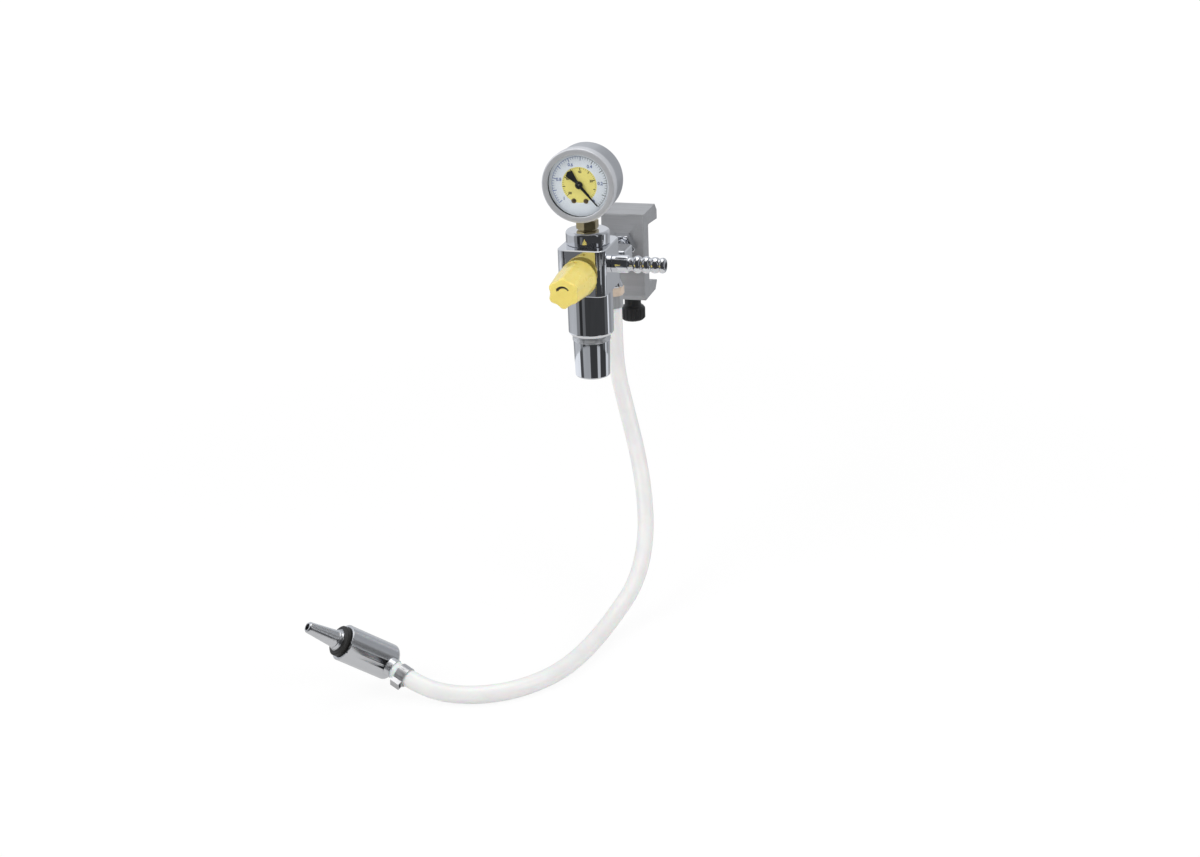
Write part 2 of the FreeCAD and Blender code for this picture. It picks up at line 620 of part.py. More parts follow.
def cup_ring():
    """Ring that screws into the housing and carries the cup, with its O-ring groove."""
    upper = HOUSING_R - HOUSING_WALL - SEAT_FIT
    lower = CUP_TOP_R - CUP_WALL - SEAT_FIT
    ring = turned([
        (RING_BORE_R, -CUP_SPIGOT_LONG), (lower, -CUP_SPIGOT_LONG), (lower, 0), (RING_R - 0.4, 0),
        (RING_R, 0.4), (RING_R, RING_HEIGHT - 0.4), (RING_R - 0.4, RING_HEIGHT), (upper, RING_HEIGHT),
        (upper, RING_HEIGHT + RING_SPIGOT_LONG), (RING_BORE_R, RING_HEIGHT + RING_SPIGOT_LONG),
    ], Vector(0, AXIS_Y, RING_Z))
    return ring.cut(groove(upper, Vector(0, AXIS_Y, HOUSING_Z + RING_SPIGOT_LONG / 2), UP))


def ring_o_ring():
    upper = HOUSING_R - HOUSING_WALL - SEAT_FIT
    ring = o_ring(upper, Vector(0, AXIS_Y, HOUSING_Z + RING_SPIGOT_LONG / 2), UP)
    return ring.common(rod(upper + SEAT_FIT, RING_SPIGOT_LONG, Vector(0, AXIS_Y, HOUSING_Z)))


def filter_cup():
    bore = CUP_TOP_R - CUP_WALL
    k = CUP_ROUND * (1 - math.sqrt(0.5))
    slope = (CUP_TOP_R - CUP_FOOT_R) / CUP_LONG
    foot_r = CUP_FOOT_R + slope * CUP_ROUND
    return turned([
        (0, 0), (foot_r - CUP_ROUND, 0), ((foot_r - k, k), (foot_r, CUP_ROUND)), (CUP_TOP_R, CUP_LONG),
        (bore, CUP_LONG), (bore, CUP_FLOOR), (0, CUP_FLOOR),
    ], Vector(0, AXIS_Y, CUP_Z))


def filter_element():
    foot = CUP_Z + CUP_FLOOR
    return tube(FILTER_R, FILTER_BORE_R, RING_Z - CUP_SPIGOT_LONG - foot, Vector(0, AXIS_Y, foot))


# Control valve

def spindle_gland():
    front = Vector(0, BODY_FRONT_Y, KNOB_Z)
    gland = rod(GLAND_R, GLAND_LONG, front, BACK).fuse(rod(GLAND_HEAD_R, GLAND_HEAD_LONG, front, FRONT))
    bore = rod(SPINDLE_R + RUN_FIT, GLAND_LONG + GLAND_HEAD_LONG, front + FRONT * GLAND_HEAD_LONG, BACK)
    gland = gland.cut(bore)
    return gland.cut(groove(SPINDLE_R + O_RING_R, front + BACK * GLAND_RING, BACK)).removeSplitter()


def gland_o_ring():
    front = Vector(0, BODY_FRONT_Y, KNOB_Z)
    ring = o_ring(SPINDLE_R + O_RING_R, front + BACK * GLAND_RING, BACK)
    return ring.cut(rod(SPINDLE_R + RUN_FIT, GLAND_LONG, front, BACK))


def needle_cone_y():
    """Where the needle's cone starts at rest."""
    slope = (SPINDLE_R - NEEDLE_TIP_R) / NEEDLE_CONE_LONG
    to_seat = (SPINDLE_R - SEAT_HOLE_R) / slope
    return AXIS_Y - CHAMBER_R + SEAT_RECESS - to_seat - NEEDLE_OPEN


def valve_needle():
    start = Vector(0, BODY_FRONT_Y + NEEDLE_FROM_FRONT, KNOB_Z)
    shank = needle_cone_y() - start.y
    needle = rod(SPINDLE_R, shank, start, BACK)
    cone = Part.makeCone(SPINDLE_R, NEEDLE_TIP_R, NEEDLE_CONE_LONG, start + BACK * shank, BACK)
    return needle.fuse(cone).removeSplitter()


def valve_spindle():
    inner = BODY_FRONT_Y + NEEDLE_FROM_FRONT - END_PLAY
    outer = BODY_FRONT_Y - KNOB_GAP - SPINDLE_IN_KNOB
    return rod(SPINDLE_R, inner - outer, Vector(0, outer, KNOB_Z), BACK)


def lobed_wire(radius, depth, height):
    """A closed smooth outline with the knob's lobes, one of them pointing down."""
    count = KNOB_LOBES * 8
    points = []
    for i in range(count):
        angle = 2 * math.pi * i / count
        r = radius * (1 + depth * math.cos(KNOB_LOBES * (angle + math.pi / 2)))
        points.append(Vector(r * math.cos(angle), r * math.sin(angle), height))
    curve = Part.BSplineCurve()
    curve.interpolate(points, PeriodicFlag=True)
    return Part.Wire(curve.toShape())


def knob():
    """Tapered grip: round at the skirt, lobed at the front, with a bevelled front edge."""
    front_h = KNOB_LONG
    middle_h = KNOB_SKIRT + (KNOB_LONG - KNOB_SKIRT) * 0.35
    middle_r = KNOB_BASE_R + (KNOB_FRONT_R - KNOB_BASE_R) * 0.25
    sections = [
        lobed_wire(KNOB_BASE_R - KNOB_STEP, 0, KNOB_SKIRT - KNOB_STEP),
        lobed_wire(middle_r, KNOB_LOBE_DEEP * 0.35, middle_h),
        lobed_wire(KNOB_FRONT_R, KNOB_LOBE_DEEP, front_h - KNOB_EDGE),
        lobed_wire(KNOB_FRONT_R - KNOB_EDGE, KNOB_LOBE_DEEP, front_h),
    ]
    grip = Part.makeLoft(sections, True, True)
    skirt = turned([
        (0, 0), (KNOB_BASE_R - 0.6, 0), (KNOB_BASE_R, 0.6), (KNOB_BASE_R, KNOB_SKIRT), (0, KNOB_SKIRT),
    ])
    shape = skirt.fuse(grip)
    shape = shape.cut(rod(KNOB_RECESS_R, KNOB_RECESS_DEEP, Vector(0, 0, 0)))
    shape = shape.cut(rod(SPINDLE_R + SEAT_FIT, SPINDLE_IN_KNOB, Vector(0, 0, 0)))
    shape = placed(shape, Vector(0, BODY_FRONT_Y - KNOB_GAP, KNOB_Z), FRONT)
    screw_hole = knob_screw_base() + DOWN * SPINDLE_R
    return shape.cut(rod(KNOB_SCREW_R + SEAT_FIT, KNOB_BASE_R + 2, screw_hole, UP))


def knob_screw_base():
    recess = BODY_FRONT_Y - KNOB_GAP - KNOB_RECESS_DEEP
    return Vector(0, recess - KNOB_SCREW_FROM_SKIRT, KNOB_Z + SPINDLE_R)


def knob_screw():
    """Grub screw that holds the knob on its spindle."""
    foot = knob_screw_base() + UP * SEAT_FIT
    screw = rod(KNOB_SCREW_R, KNOB_SCREW_LONG, foot, UP)
    return screw.cut(hexagon(KNOB_SOCKET_AF, KNOB_SOCKET_DEEP, foot + UP * KNOB_SCREW_LONG, DOWN, bevel=0))


# Outlet tail

def outlet_tail():
    """Turned tail with three round beads and a rounded tip, for the suction tube."""
    start = TAIL_SHANK_LONG
    steps = [(TAIL_BORE_R, -TAIL_THREAD_LONG), (TAIL_THREAD_R, -TAIL_THREAD_LONG), (TAIL_THREAD_R, 0),
             (TAIL_SHANK_R - 0.5, 0), (TAIL_SHANK_R, 0.5), (TAIL_SHANK_R, start - 0.8),
             (TAIL_SHANK_R - 0.8, start), (TAIL_NECK_R, start), (TAIL_NECK_R, start + TAIL_PITCH / 2)]
    for i, bead in enumerate(TAIL_BEADS):
        foot = start + TAIL_PITCH * (i + 0.5)
        steps.append(((bead, foot + TAIL_PITCH * 0.45), (TAIL_NECK_R, foot + TAIL_PITCH * 0.9)))
        steps.append((TAIL_NECK_R, foot + TAIL_PITCH))
    end = start + TAIL_PITCH * (len(TAIL_BEADS) + 0.5)
    tip = end + TAIL_TIP_LONG
    steps += [((TAIL_TIP_R, end + TAIL_TIP_LONG * 0.45), (TAIL_NECK_R - TAIL_TIP_DROP, tip)), (TAIL_BORE_R, tip)]
    return turned(steps, Vector(BODY_WIDTH / 2, AXIS_Y, TAIL_Z), RIGHT)


# Gauge: heights below run forward from the back of the case

def gauge_point(x, drop, height):
    return Vector(x, GAUGE_BACK_Y - height, GAUGE_Z - drop)


def gauge_turned(steps):
    return turned(steps, gauge_point(0, 0, 0), FRONT)


WINDOW_R = GAUGE_R - WINDOW_INSET
DIAL_R = GAUGE_R - DIAL_INSET
DIAL_H = CASE_DEPTH
LENS_H = DIAL_H + DIAL_THICK + GASKET_LONG
BEZEL_H = LENS_H + LENS_THICK + BEZEL_LIP
POINTER_H = DIAL_H + DIAL_THICK + POINTER_LIFT
BLOCK_H = GAUGE_BACK - BLOCK_DEPTH / 2
FRAME_H = BLOCK_H + BLOCK_DEPTH


def gauge_case():
    inner = GAUGE_R - GAUGE_WALL
    k = CASE_ROUND * (1 - math.sqrt(0.5))
    case = gauge_turned([
        (0, 0), (GAUGE_R - CASE_ROUND, 0), ((GAUGE_R - k, k), (GAUGE_R, CASE_ROUND)), (GAUGE_R, CASE_DEPTH),
        (inner, CASE_DEPTH), (inner, GAUGE_WALL), (0, GAUGE_WALL),
    ])
    return case.cut(rod(STEM_NECK_R + SEAT_FIT, GAUGE_R, gauge_point(0, 0, GAUGE_BACK), DOWN))


def gauge_bezel():
    outer = GAUGE_R + BEZEL_WALL
    pocket = DIAL_R + SEAT_FIT
    foot = DIAL_H - BEZEL_SKIRT
    return gauge_turned([
        (GAUGE_R + SEAT_FIT, foot), (outer, foot), (outer, BEZEL_H - BEZEL_ROUND),
        round_corner(outer, BEZEL_H, BEZEL_ROUND), (WINDOW_R + 0.5, BEZEL_H), (WINDOW_R, BEZEL_H - 0.5),
        (WINDOW_R, BEZEL_H - BEZEL_LIP), (pocket, BEZEL_H - BEZEL_LIP), (pocket, DIAL_H),
        (GAUGE_R + SEAT_FIT, DIAL_H),
    ])


def gauge_lens():
    return rod(DIAL_R, LENS_THICK, gauge_point(0, 0, LENS_H), FRONT)


def lens_gasket():
    return tube(DIAL_R, DIAL_R - GASKET_WALL, GASKET_LONG, gauge_point(0, 0, DIAL_H + DIAL_THICK), FRONT)


def gauge_dial():
    dial = tube(DIAL_R, DIAL_HOLE_R, DIAL_THICK, gauge_point(0, 0, DIAL_H), FRONT)
    for side in (-1, 1):
        hole = gauge_point(side * DIAL_SCREW_X, DIAL_SCREW_DROP, DIAL_H)
        dial = dial.cut(rod(DIAL_SCREW_R + SEAT_FIT, DIAL_THICK, hole, FRONT))
    return dial


def dial_screws():
    """The two slotted screws that hold the dial on the movement."""
    screws = []
    for side in (-1, 1):
        seat = gauge_point(side * DIAL_SCREW_X, DIAL_SCREW_DROP, DIAL_H + DIAL_THICK)
        rim = DIAL_SCREW_HEAD_LONG / 2
        dome = (DIAL_SCREW_HEAD_R * 0.6, DIAL_SCREW_HEAD_LONG * 0.87)
        head = turned([
            (0, 0), (DIAL_SCREW_HEAD_R, 0), (DIAL_SCREW_HEAD_R, rim), (dome, (0, DIAL_SCREW_HEAD_LONG)),
        ], seat, FRONT)
        shank = rod(DIAL_SCREW_R, DIAL_SCREW_LONG + 0.1, seat + FRONT * 0.1, BACK)
        slot_floor = DIAL_SCREW_HEAD_LONG - DIAL_SLOT_DEEP
        corner = seat + Vector(-DIAL_SCREW_HEAD_R - 1, -slot_floor - 1, -DIAL_SCREW_SLOT / 2)
        slot = Part.makeBox(2 * DIAL_SCREW_HEAD_R + 2, 1, DIAL_SCREW_SLOT, corner)
        screws.append(head.fuse(shank).cut(slot))
    return Part.makeCompound(screws)


def pointer():
    """Thin pointer: a long taper to the tip, a flared tail and a round boss, set to the scale's zero."""
    half_hub = 1.1
    outline = [(-half_hub, -1), (-0.25, -POINTER_LONG), (0.25, -POINTER_LONG), (half_hub, -1), (1.2, 3.5),
               (3.1, POINTER_TAIL - 1.5), (0, POINTER_TAIL), (-3.1, POINTER_TAIL - 1.5), (-1.2, 3.5)]
    points = [Vector(x, y, 0) for x, y in outline]
    blade = Part.Face(Part.makePolygon(points + points[:1])).extrude(Vector(0, 0, POINTER_THICK))
    boss = rod(POINTER_HUB_R, POINTER_HUB_LONG, Vector(0, 0, -0.3))
    shape = blade.fuse(boss).cut(rod(SHAFT_R, 4, Vector(0, 0, -1)))
    turn = FreeCAD.Rotation(UP, 180 - POINTER_ZERO)
    shape.Placement = FreeCAD.Placement(Vector(0, 0, 0), turn)
    stand = FreeCAD.Placement(gauge_point(0, 0, POINTER_H), FreeCAD.Rotation(RIGHT, 90))
    shape.Placement = stand.multiply(shape.Placement)
    return shape


def pointer_shaft():
    return rod(SHAFT_R, POINTER_H + POINTER_THICK - FRAME_H + 1, gauge_point(0, 0, FRAME_H - 1), FRONT)


def movement_frame():
    """Two plates on posts, with the bearing of the pointer shaft and the pillars under the dial."""
    plates = []
    second = DIAL_H - PILLAR_LONG - PLATE_THICK
    for height in (FRAME_H, second):
        corner = gauge_point(-PLATE_WIDTH / 2, PLATE_FOOT, height + PLATE_THICK)
        plates.append(Part.makeBox(PLATE_WIDTH, PLATE_THICK, PLATE_TOP + PLATE_FOOT, corner))
    frame = plates[0].fuse(plates[1])
    for x in (-1, 1):
        for drop in (-PLATE_TOP + 3, PLATE_FOOT - 6.5):
            at = gauge_point(x * (PLATE_WIDTH / 2 - 2.5), drop, FRAME_H)
            frame = frame.fuse(rod(POST_R, second + PLATE_THICK - FRAME_H, at, FRONT))
        pillar = gauge_point(x * DIAL_SCREW_X, DIAL_SCREW_DROP, second)
        pillar = rod(DIAL_SCREW_R + 1, DIAL_H - second, pillar, FRONT)
        frame = frame.fuse(pillar)
    for x in (-1, 1):
        hole = gauge_point(x * DIAL_SCREW_X, DIAL_SCREW_DROP, DIAL_H)
        frame = frame.cut(rod(DIAL_SCREW_R + SEAT_FIT, DIAL_SCREW_LONG, hole, BACK))
    frame = frame.cut(rod(SHAFT_R + RUN_FIT, DIAL_H, gauge_point(0, 0, 0), FRONT))
    return frame.removeSplitter()


def gauge_stem():
    """One brass piece: the block inside the case, the neck, the hexagon and the thread in the cap."""
    neck_top = GAUGE_Z - BLOCK_TOP
    hex_z = CAP_TOP_Z + STEM_GAP
    block_z = neck_top - BLOCK_HEIGHT
    foot_z = BODY_TOP_Z - STEM_THREAD_DEEP
    corner = Vector(-BLOCK_WIDTH / 2, AXIS_Y - BLOCK_DEPTH / 2, block_z)
    block = Part.makeBox(BLOCK_WIDTH, BLOCK_DEPTH, BLOCK_HEIGHT, corner)
    neck = rod(STEM_NECK_R - STEM_PLAY, block_z + 1 - hex_z, Vector(0, AXIS_Y, hex_z))
    six = hexagon(STEM_HEX_AF, STEM_HEX_LONG, Vector(0, AXIS_Y, hex_z), UP, turn=30)
    thread = rod(STEM_THREAD_R, hex_z - foot_z, Vector(0, AXIS_Y, foot_z))
    stem = block.fuse(neck).fuse(six).fuse(thread)
    bore = rod(STEM_BORE_R, block_z + BLOCK_HEIGHT / 2 - foot_z, Vector(0, AXIS_Y, foot_z))
    return stem.cut(bore).removeSplitter()


def bourdon_tube():
    """The flat curved tube that opens and closes with the pressure."""
    centre = gauge_point(0, 0, GAUGE_BACK)
    section = Part.Ellipse(Vector(0, 0, 0), TUBE_HALF_WIDE, TUBE_HALF_THICK).toShape()
    face = Part.Face(Part.Wire(section))
    face.Placement = FreeCAD.Placement(centre + DOWN * TUBE_RING_R, FreeCAD.Rotation(Vector(1, 1, 1), 120))
    ring = face.revolve(centre, FRONT, TUBE_ARC)
    corner = Vector(-BLOCK_WIDTH / 2, AXIS_Y - BLOCK_DEPTH, GAUGE_Z - BLOCK_TOP - GAUGE_R)
    return ring.cut(Part.makeBox(BLOCK_WIDTH, 2 * BLOCK_DEPTH, GAUGE_R, corner))


# Hose and probe

def route_vectors():
    return [Vector(*point) for point in HOSE_ROUTE]


def hose_path():
    """Straight runs joined by tangent arcs, as large as the runs allow."""
    points = route_vectors()
    edges = []
    here = points[0]
    for i in range(1, len(points) - 1):
        before = points[i] - points[i - 1]
        after = points[i + 1] - points[i]
        turn = before.getAngle(after)
        reach = ARC_SHARE * min(before.Length, after.Length)
        radius = reach / math.tan(turn / 2)
        print("hose bend", i, "turn", round(math.degrees(turn), 1), "radius", round(radius, 1))
        start = points[i] - Vector(before).normalize() * reach
        end = points[i] + Vector(after).normalize() * reach
        inward = (Vector(after).normalize() - Vector(before).normalize()).normalize()
        middle = points[i] + inward * (radius / math.cos(turn / 2) - radius)
        if (start - here).Length > 1e-6:
            edges.append(Part.LineSegment(here, start).toShape())
        edges.append(Part.Arc(start, middle, end).toShape())
        here = end
    edges.append(Part.LineSegment(here, points[-1]).toShape())
    return Part.Wire(edges)


def hose():
    path = hose_path()
    points = route_vectors()
    along = points[1] - points[0]
    shells = []
    for radius in (HOSE_R, HOSE_BORE_R):
        ring = Part.Wire(Part.Circle(points[0], along, radius).toShape())
        shells.append(path.makePipeShell([ring], True, False))
    solid = shells[0].cut(shells[1])
    share = solid.Volume / (math.pi * (HOSE_R ** 2 - HOSE_BORE_R ** 2) * path.Length)
    print("hose length", round(path.Length, 1), "volume over section x length", round(share, 4))
    return solid


def branch_direction():
    """From the probe to the hose: back along the hose's last run."""
    points = route_vectors()
    return (points[-2] - points[-1]).normalize()


def nozzle_direction():
    heading = math.radians(PROBE_HEADING)
    lift = math.radians(PROBE_LIFT)
    return Vector(math.cos(heading) * math.cos(lift), math.sin(heading) * math.cos(lift), math.sin(lift))


def probe_rear():
    """Centre of the sleeve's rear end, so that the branch meets the hose's end."""
    end = route_vectors()[-1]
    on_axis = end - branch_direction() * (PROBE_R + PROBE_SHOULDER)
    return on_axis - nozzle_direction() * PROBE_BRANCH


def probe_turned(steps):
    return turned(steps, probe_rear(), nozzle_direction())


def probe_sleeve():
    k = PROBE_REAR_ROUND * (1 - math.sqrt(0.5))
    sleeve = probe_turned([
        (0, 0), (PROBE_R - PROBE_REAR_ROUND, 0), ((PROBE_R - k, k), (PROBE_R, PROBE_REAR_ROUND)),
        (PROBE_R, PROBE_LONG - 0.8), (PROBE_R - 0.8, PROBE_LONG), (PROBE_BORE_R, PROBE_LONG),
        (PROBE_BORE_R, PROBE_LONG - PROBE_BORE_DEEP), (0, PROBE_LONG - PROBE_BORE_DEEP),
    ])
    axis_point = probe_rear() + nozzle_direction() * PROBE_BRANCH
    hole = rod(HOSE_BORE_R, PROBE_R + 2, axis_point, branch_direction())
    return sleeve.cut(hole)


def probe_collar():
    """Black collar that stands out of the sleeve round the nozzle."""
    foot = PROBE_LONG - COLLAR_IN
    front = PROBE_LONG + COLLAR_OUT
    return probe_turned([
        (NOZZLE_FLANGE_R, foot), (PROBE_BORE_R - SEAT_FIT, foot), (PROBE_BORE_R - SEAT_FIT, PROBE_LONG),
        (COLLAR_R, PROBE_LONG), (COLLAR_R, front - 0.6), (COLLAR_R - 0.6, front), (NOZZLE_FLANGE_R, front),
    ])


def probe_nozzle():
    """Stepped and tapered nozzle with its bore."""
    foot = PROBE_LONG - PROBE_BORE_DEEP
    flange = NOZZLE_FLANGE_R - SEAT_FIT
    out = PROBE_LONG + COLLAR_OUT
    tip = PROBE_LONG + NOZZLE_OUT
    return probe_turned([
        (NOZZLE_HOLE_R, foot), (flange, foot), (flange, out + 0.6), (NOZZLE_STEP_R, out + 0.6),
        (NOZZLE_STEP_R, out + 2.4), (NOZZLE_BASE_R, out + 2.8), (NOZZLE_BASE_R, out + 4.4),
        (NOZZLE_TIP_R + 0.4, tip - 1.0), (NOZZLE_TIP_R - 0.4, tip), (NOZZLE_HOLE_R, tip),
    ])


def probe_branch():
    """Side connector of the probe, with the barb that holds the hose."""
    base = probe_rear() + nozzle_direction() * PROBE_BRANCH
    shoulder = PROBE_R + PROBE_SHOULDER
    rib = HOSE_BORE_R - SEAT_FIT
    bore = LINK_BORE_R - BARB_WALL
    steps = [(bore, PROBE_R - 4), (rib, PROBE_R - 4), (rib, PROBE_R - 0.2),
             (BRANCH_R, PROBE_R - 0.2), (BRANCH_R, shoulder - 0.5), (BRANCH_R - 0.5, shoulder),
             (rib, shoulder)]
    steps += ribs(rib, shoulder, BARB_GRIP)
    shape = turned(steps + [(bore, shoulder + BARB_GRIP)], base, branch_direction())
    return shape.cut(probe_sleeve())


def hose_clip():
    """Steel ear clip round the hose end."""
    base = route_vectors()[-1] + branch_direction() * CLIP_FROM_PROBE
    inner = HOSE_R + SEAT_FIT
    band = tube(inner + CLIP_WALL, inner, CLIP_WIDE, Vector(0, 0, 0))
    corner = Vector(-CLIP_EAR_WIDE / 2, HOSE_R + CLIP_WALL / 2, 0)
    ear = Part.makeBox(CLIP_EAR_WIDE, CLIP_EAR_TALL, CLIP_WIDE, corner)
    slot = Part.makeBox(CLIP_EAR_WIDE - 2 * CLIP_WALL, CLIP_EAR_TALL - 2 * CLIP_WALL, CLIP_WIDE,
                        corner + Vector(CLIP_WALL, CLIP_WALL, 0))
    clip = band.fuse(ear.cut(rod(inner, CLIP_WIDE, Vector(0, 0, 0)))).cut(slot)
    return placed(clip, base, branch_direction(), 180)


PIECES = {
    "rail_clamp": rail_clamp,
    "clamp_screw": clamp_screw,
    "clamp_pad": clamp_pad,
    "thumb_stud": thumb_stud,
    "thumb_knob": thumb_knob,
    "clamp_nipple": clamp_nipple,
    "locknut": locknut,
    "tee_block": tee_block,
    "inlet_nipple": inlet_nipple,
    "union_nut": union_nut,
    "inlet_barb": inlet_barb,
    "hose_nut": hose_nut,
    "hose_ferrule": hose_ferrule,
    "body_block": body_block,
    "valve_cage": valve_cage,
    "top_cap": top_cap,
    "cap_o_ring": cap_o_ring,
    "lower_housing": lower_housing,
    "cup_ring": cup_ring,
    "ring_o_ring": ring_o_ring,
    "filter_cup": filter_cup,
    "filter_element": filter_element,
    "spindle_gland": spindle_gland,
    "gland_o_ring": gland_o_ring,
    "valve_needle": valve_needle,
    "valve_spindle": valve_spindle,
    "control_knob": knob,
    "knob_screw": knob_screw,
    "outlet_tail": outlet_tail,
    "gauge_case": gauge_case,
    "gauge_bezel": gauge_bezel,
    "gauge_lens": gauge_lens,
    "lens_gasket": lens_gasket,
    "gauge_dial": gauge_dial,
    "dial_screws": dial_screws,
    "gauge_pointer": pointer,
    "pointer_shaft": pointer_shaft,
    "movement_frame": movement_frame,
    "gauge_stem": gauge_stem,
    "bourdon_tube": bourdon_tube,
    "inlet_hose": hose,
    "probe_sleeve": probe_sleeve,
    "probe_collar": probe_collar,
    "probe_nozzle": probe_nozzle,
    "probe_branch": probe_branch,
    "hose_clip": hose_clip,
}

for name, make in PIECES.items():
    save(name, make())
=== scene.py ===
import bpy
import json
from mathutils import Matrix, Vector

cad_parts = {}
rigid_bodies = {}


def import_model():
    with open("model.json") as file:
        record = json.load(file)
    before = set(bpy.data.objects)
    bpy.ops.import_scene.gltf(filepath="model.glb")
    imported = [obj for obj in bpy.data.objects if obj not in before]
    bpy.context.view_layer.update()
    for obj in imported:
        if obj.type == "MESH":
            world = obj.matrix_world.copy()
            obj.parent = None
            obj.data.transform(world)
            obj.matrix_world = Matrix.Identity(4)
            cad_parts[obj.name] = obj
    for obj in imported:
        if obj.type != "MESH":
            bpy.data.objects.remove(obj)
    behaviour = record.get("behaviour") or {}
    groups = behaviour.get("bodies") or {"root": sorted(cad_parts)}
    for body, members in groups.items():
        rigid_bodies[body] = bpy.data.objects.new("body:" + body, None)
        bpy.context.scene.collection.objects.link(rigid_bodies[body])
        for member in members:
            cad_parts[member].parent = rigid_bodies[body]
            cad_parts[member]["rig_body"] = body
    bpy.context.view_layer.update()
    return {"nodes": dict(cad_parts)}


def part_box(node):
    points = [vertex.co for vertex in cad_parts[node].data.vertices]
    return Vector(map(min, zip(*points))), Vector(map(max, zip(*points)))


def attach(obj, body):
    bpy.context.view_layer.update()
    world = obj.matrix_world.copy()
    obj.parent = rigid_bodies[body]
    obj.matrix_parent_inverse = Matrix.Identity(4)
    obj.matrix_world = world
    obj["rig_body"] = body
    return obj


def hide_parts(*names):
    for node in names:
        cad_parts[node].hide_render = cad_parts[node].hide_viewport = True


bl_info = {
    "name": "Vacuum regulator",
    "version": (1, 0, 0),
    "blender": (4, 5, 0),
    "location": "3D View > Sidebar > Regulator",
    "description": "Dresses the vacuum regulator: its hose, its dial, its finishes and its stage",
    "category": "Object",
}

import json
import math

import bpy
from bpy.props import FloatProperty, FloatVectorProperty, PointerProperty
from mathutils import Matrix, Vector

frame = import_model()


# Shader maths

class Shade:
    """A socket of a material, or a number, that takes part in Python expressions."""

    def __init__(self, tree, value):
        self.tree = tree
        self.value = value

    def _math(self, operation, *others):
        node = self.tree.nodes.new("ShaderNodeMath")
        node.operation = operation
        for socket, item in zip(node.inputs, (self,) + others):
            join(self.tree, socket, item)
        return Shade(self.tree, node.outputs[0])

    def __add__(self, other):
        return self._math("ADD", other)

    def __radd__(self, other):
        return self._math("ADD", other)

    def __sub__(self, other):
        return self._math("SUBTRACT", other)

    def __rsub__(self, other):
        return Shade(self.tree, other)._math("SUBTRACT", self)

    def __mul__(self, other):
        return self._math("MULTIPLY", other)

    def __rmul__(self, other):
        return self._math("MULTIPLY", other)

    def __truediv__(self, other):
        return self._math("DIVIDE", other)

    def __gt__(self, other):
        return self._math("GREATER_THAN", other)

    def __lt__(self, other):
        return self._math("LESS_THAN", other)

    def __abs__(self):
        return self._math("ABSOLUTE")

    def sin(self):
        return self._math("SINE")

    def root(self):
        return self._math("SQRT")

    def high(self, other):
        return self._math("MAXIMUM", other)

    def angle(self, other):
        return self._math("ARCTAN2", other)

    def whole(self):
        return self._math("FLOOR")

    def rest(self, step):
        return self._math("MODULO", step)

    def soft(self, start, end):
        """0 below start, 1 above end, and a smooth change between them."""
        node = self.tree.nodes.new("ShaderNodeMapRange")
        node.interpolation_type = "SMOOTHSTEP"
        join(self.tree, node.inputs["Value"], self)
        node.inputs["From Min"].default_value = start
        node.inputs["From Max"].default_value = end
        return Shade(self.tree, node.outputs["Result"])


def join(tree, socket, item):
    """Put a number, a colour or a link into a socket."""
    if isinstance(item, Shade):
        item = item.value
    if isinstance(item, bpy.types.NodeSocket):
        tree.links.new(item, socket)
    elif isinstance(item, (int, float)):
        socket.default_value = item
    elif len(item) == 3 and socket.type == "RGBA":
        socket.default_value = (*item, 1.0)
    else:
        socket.default_value = item


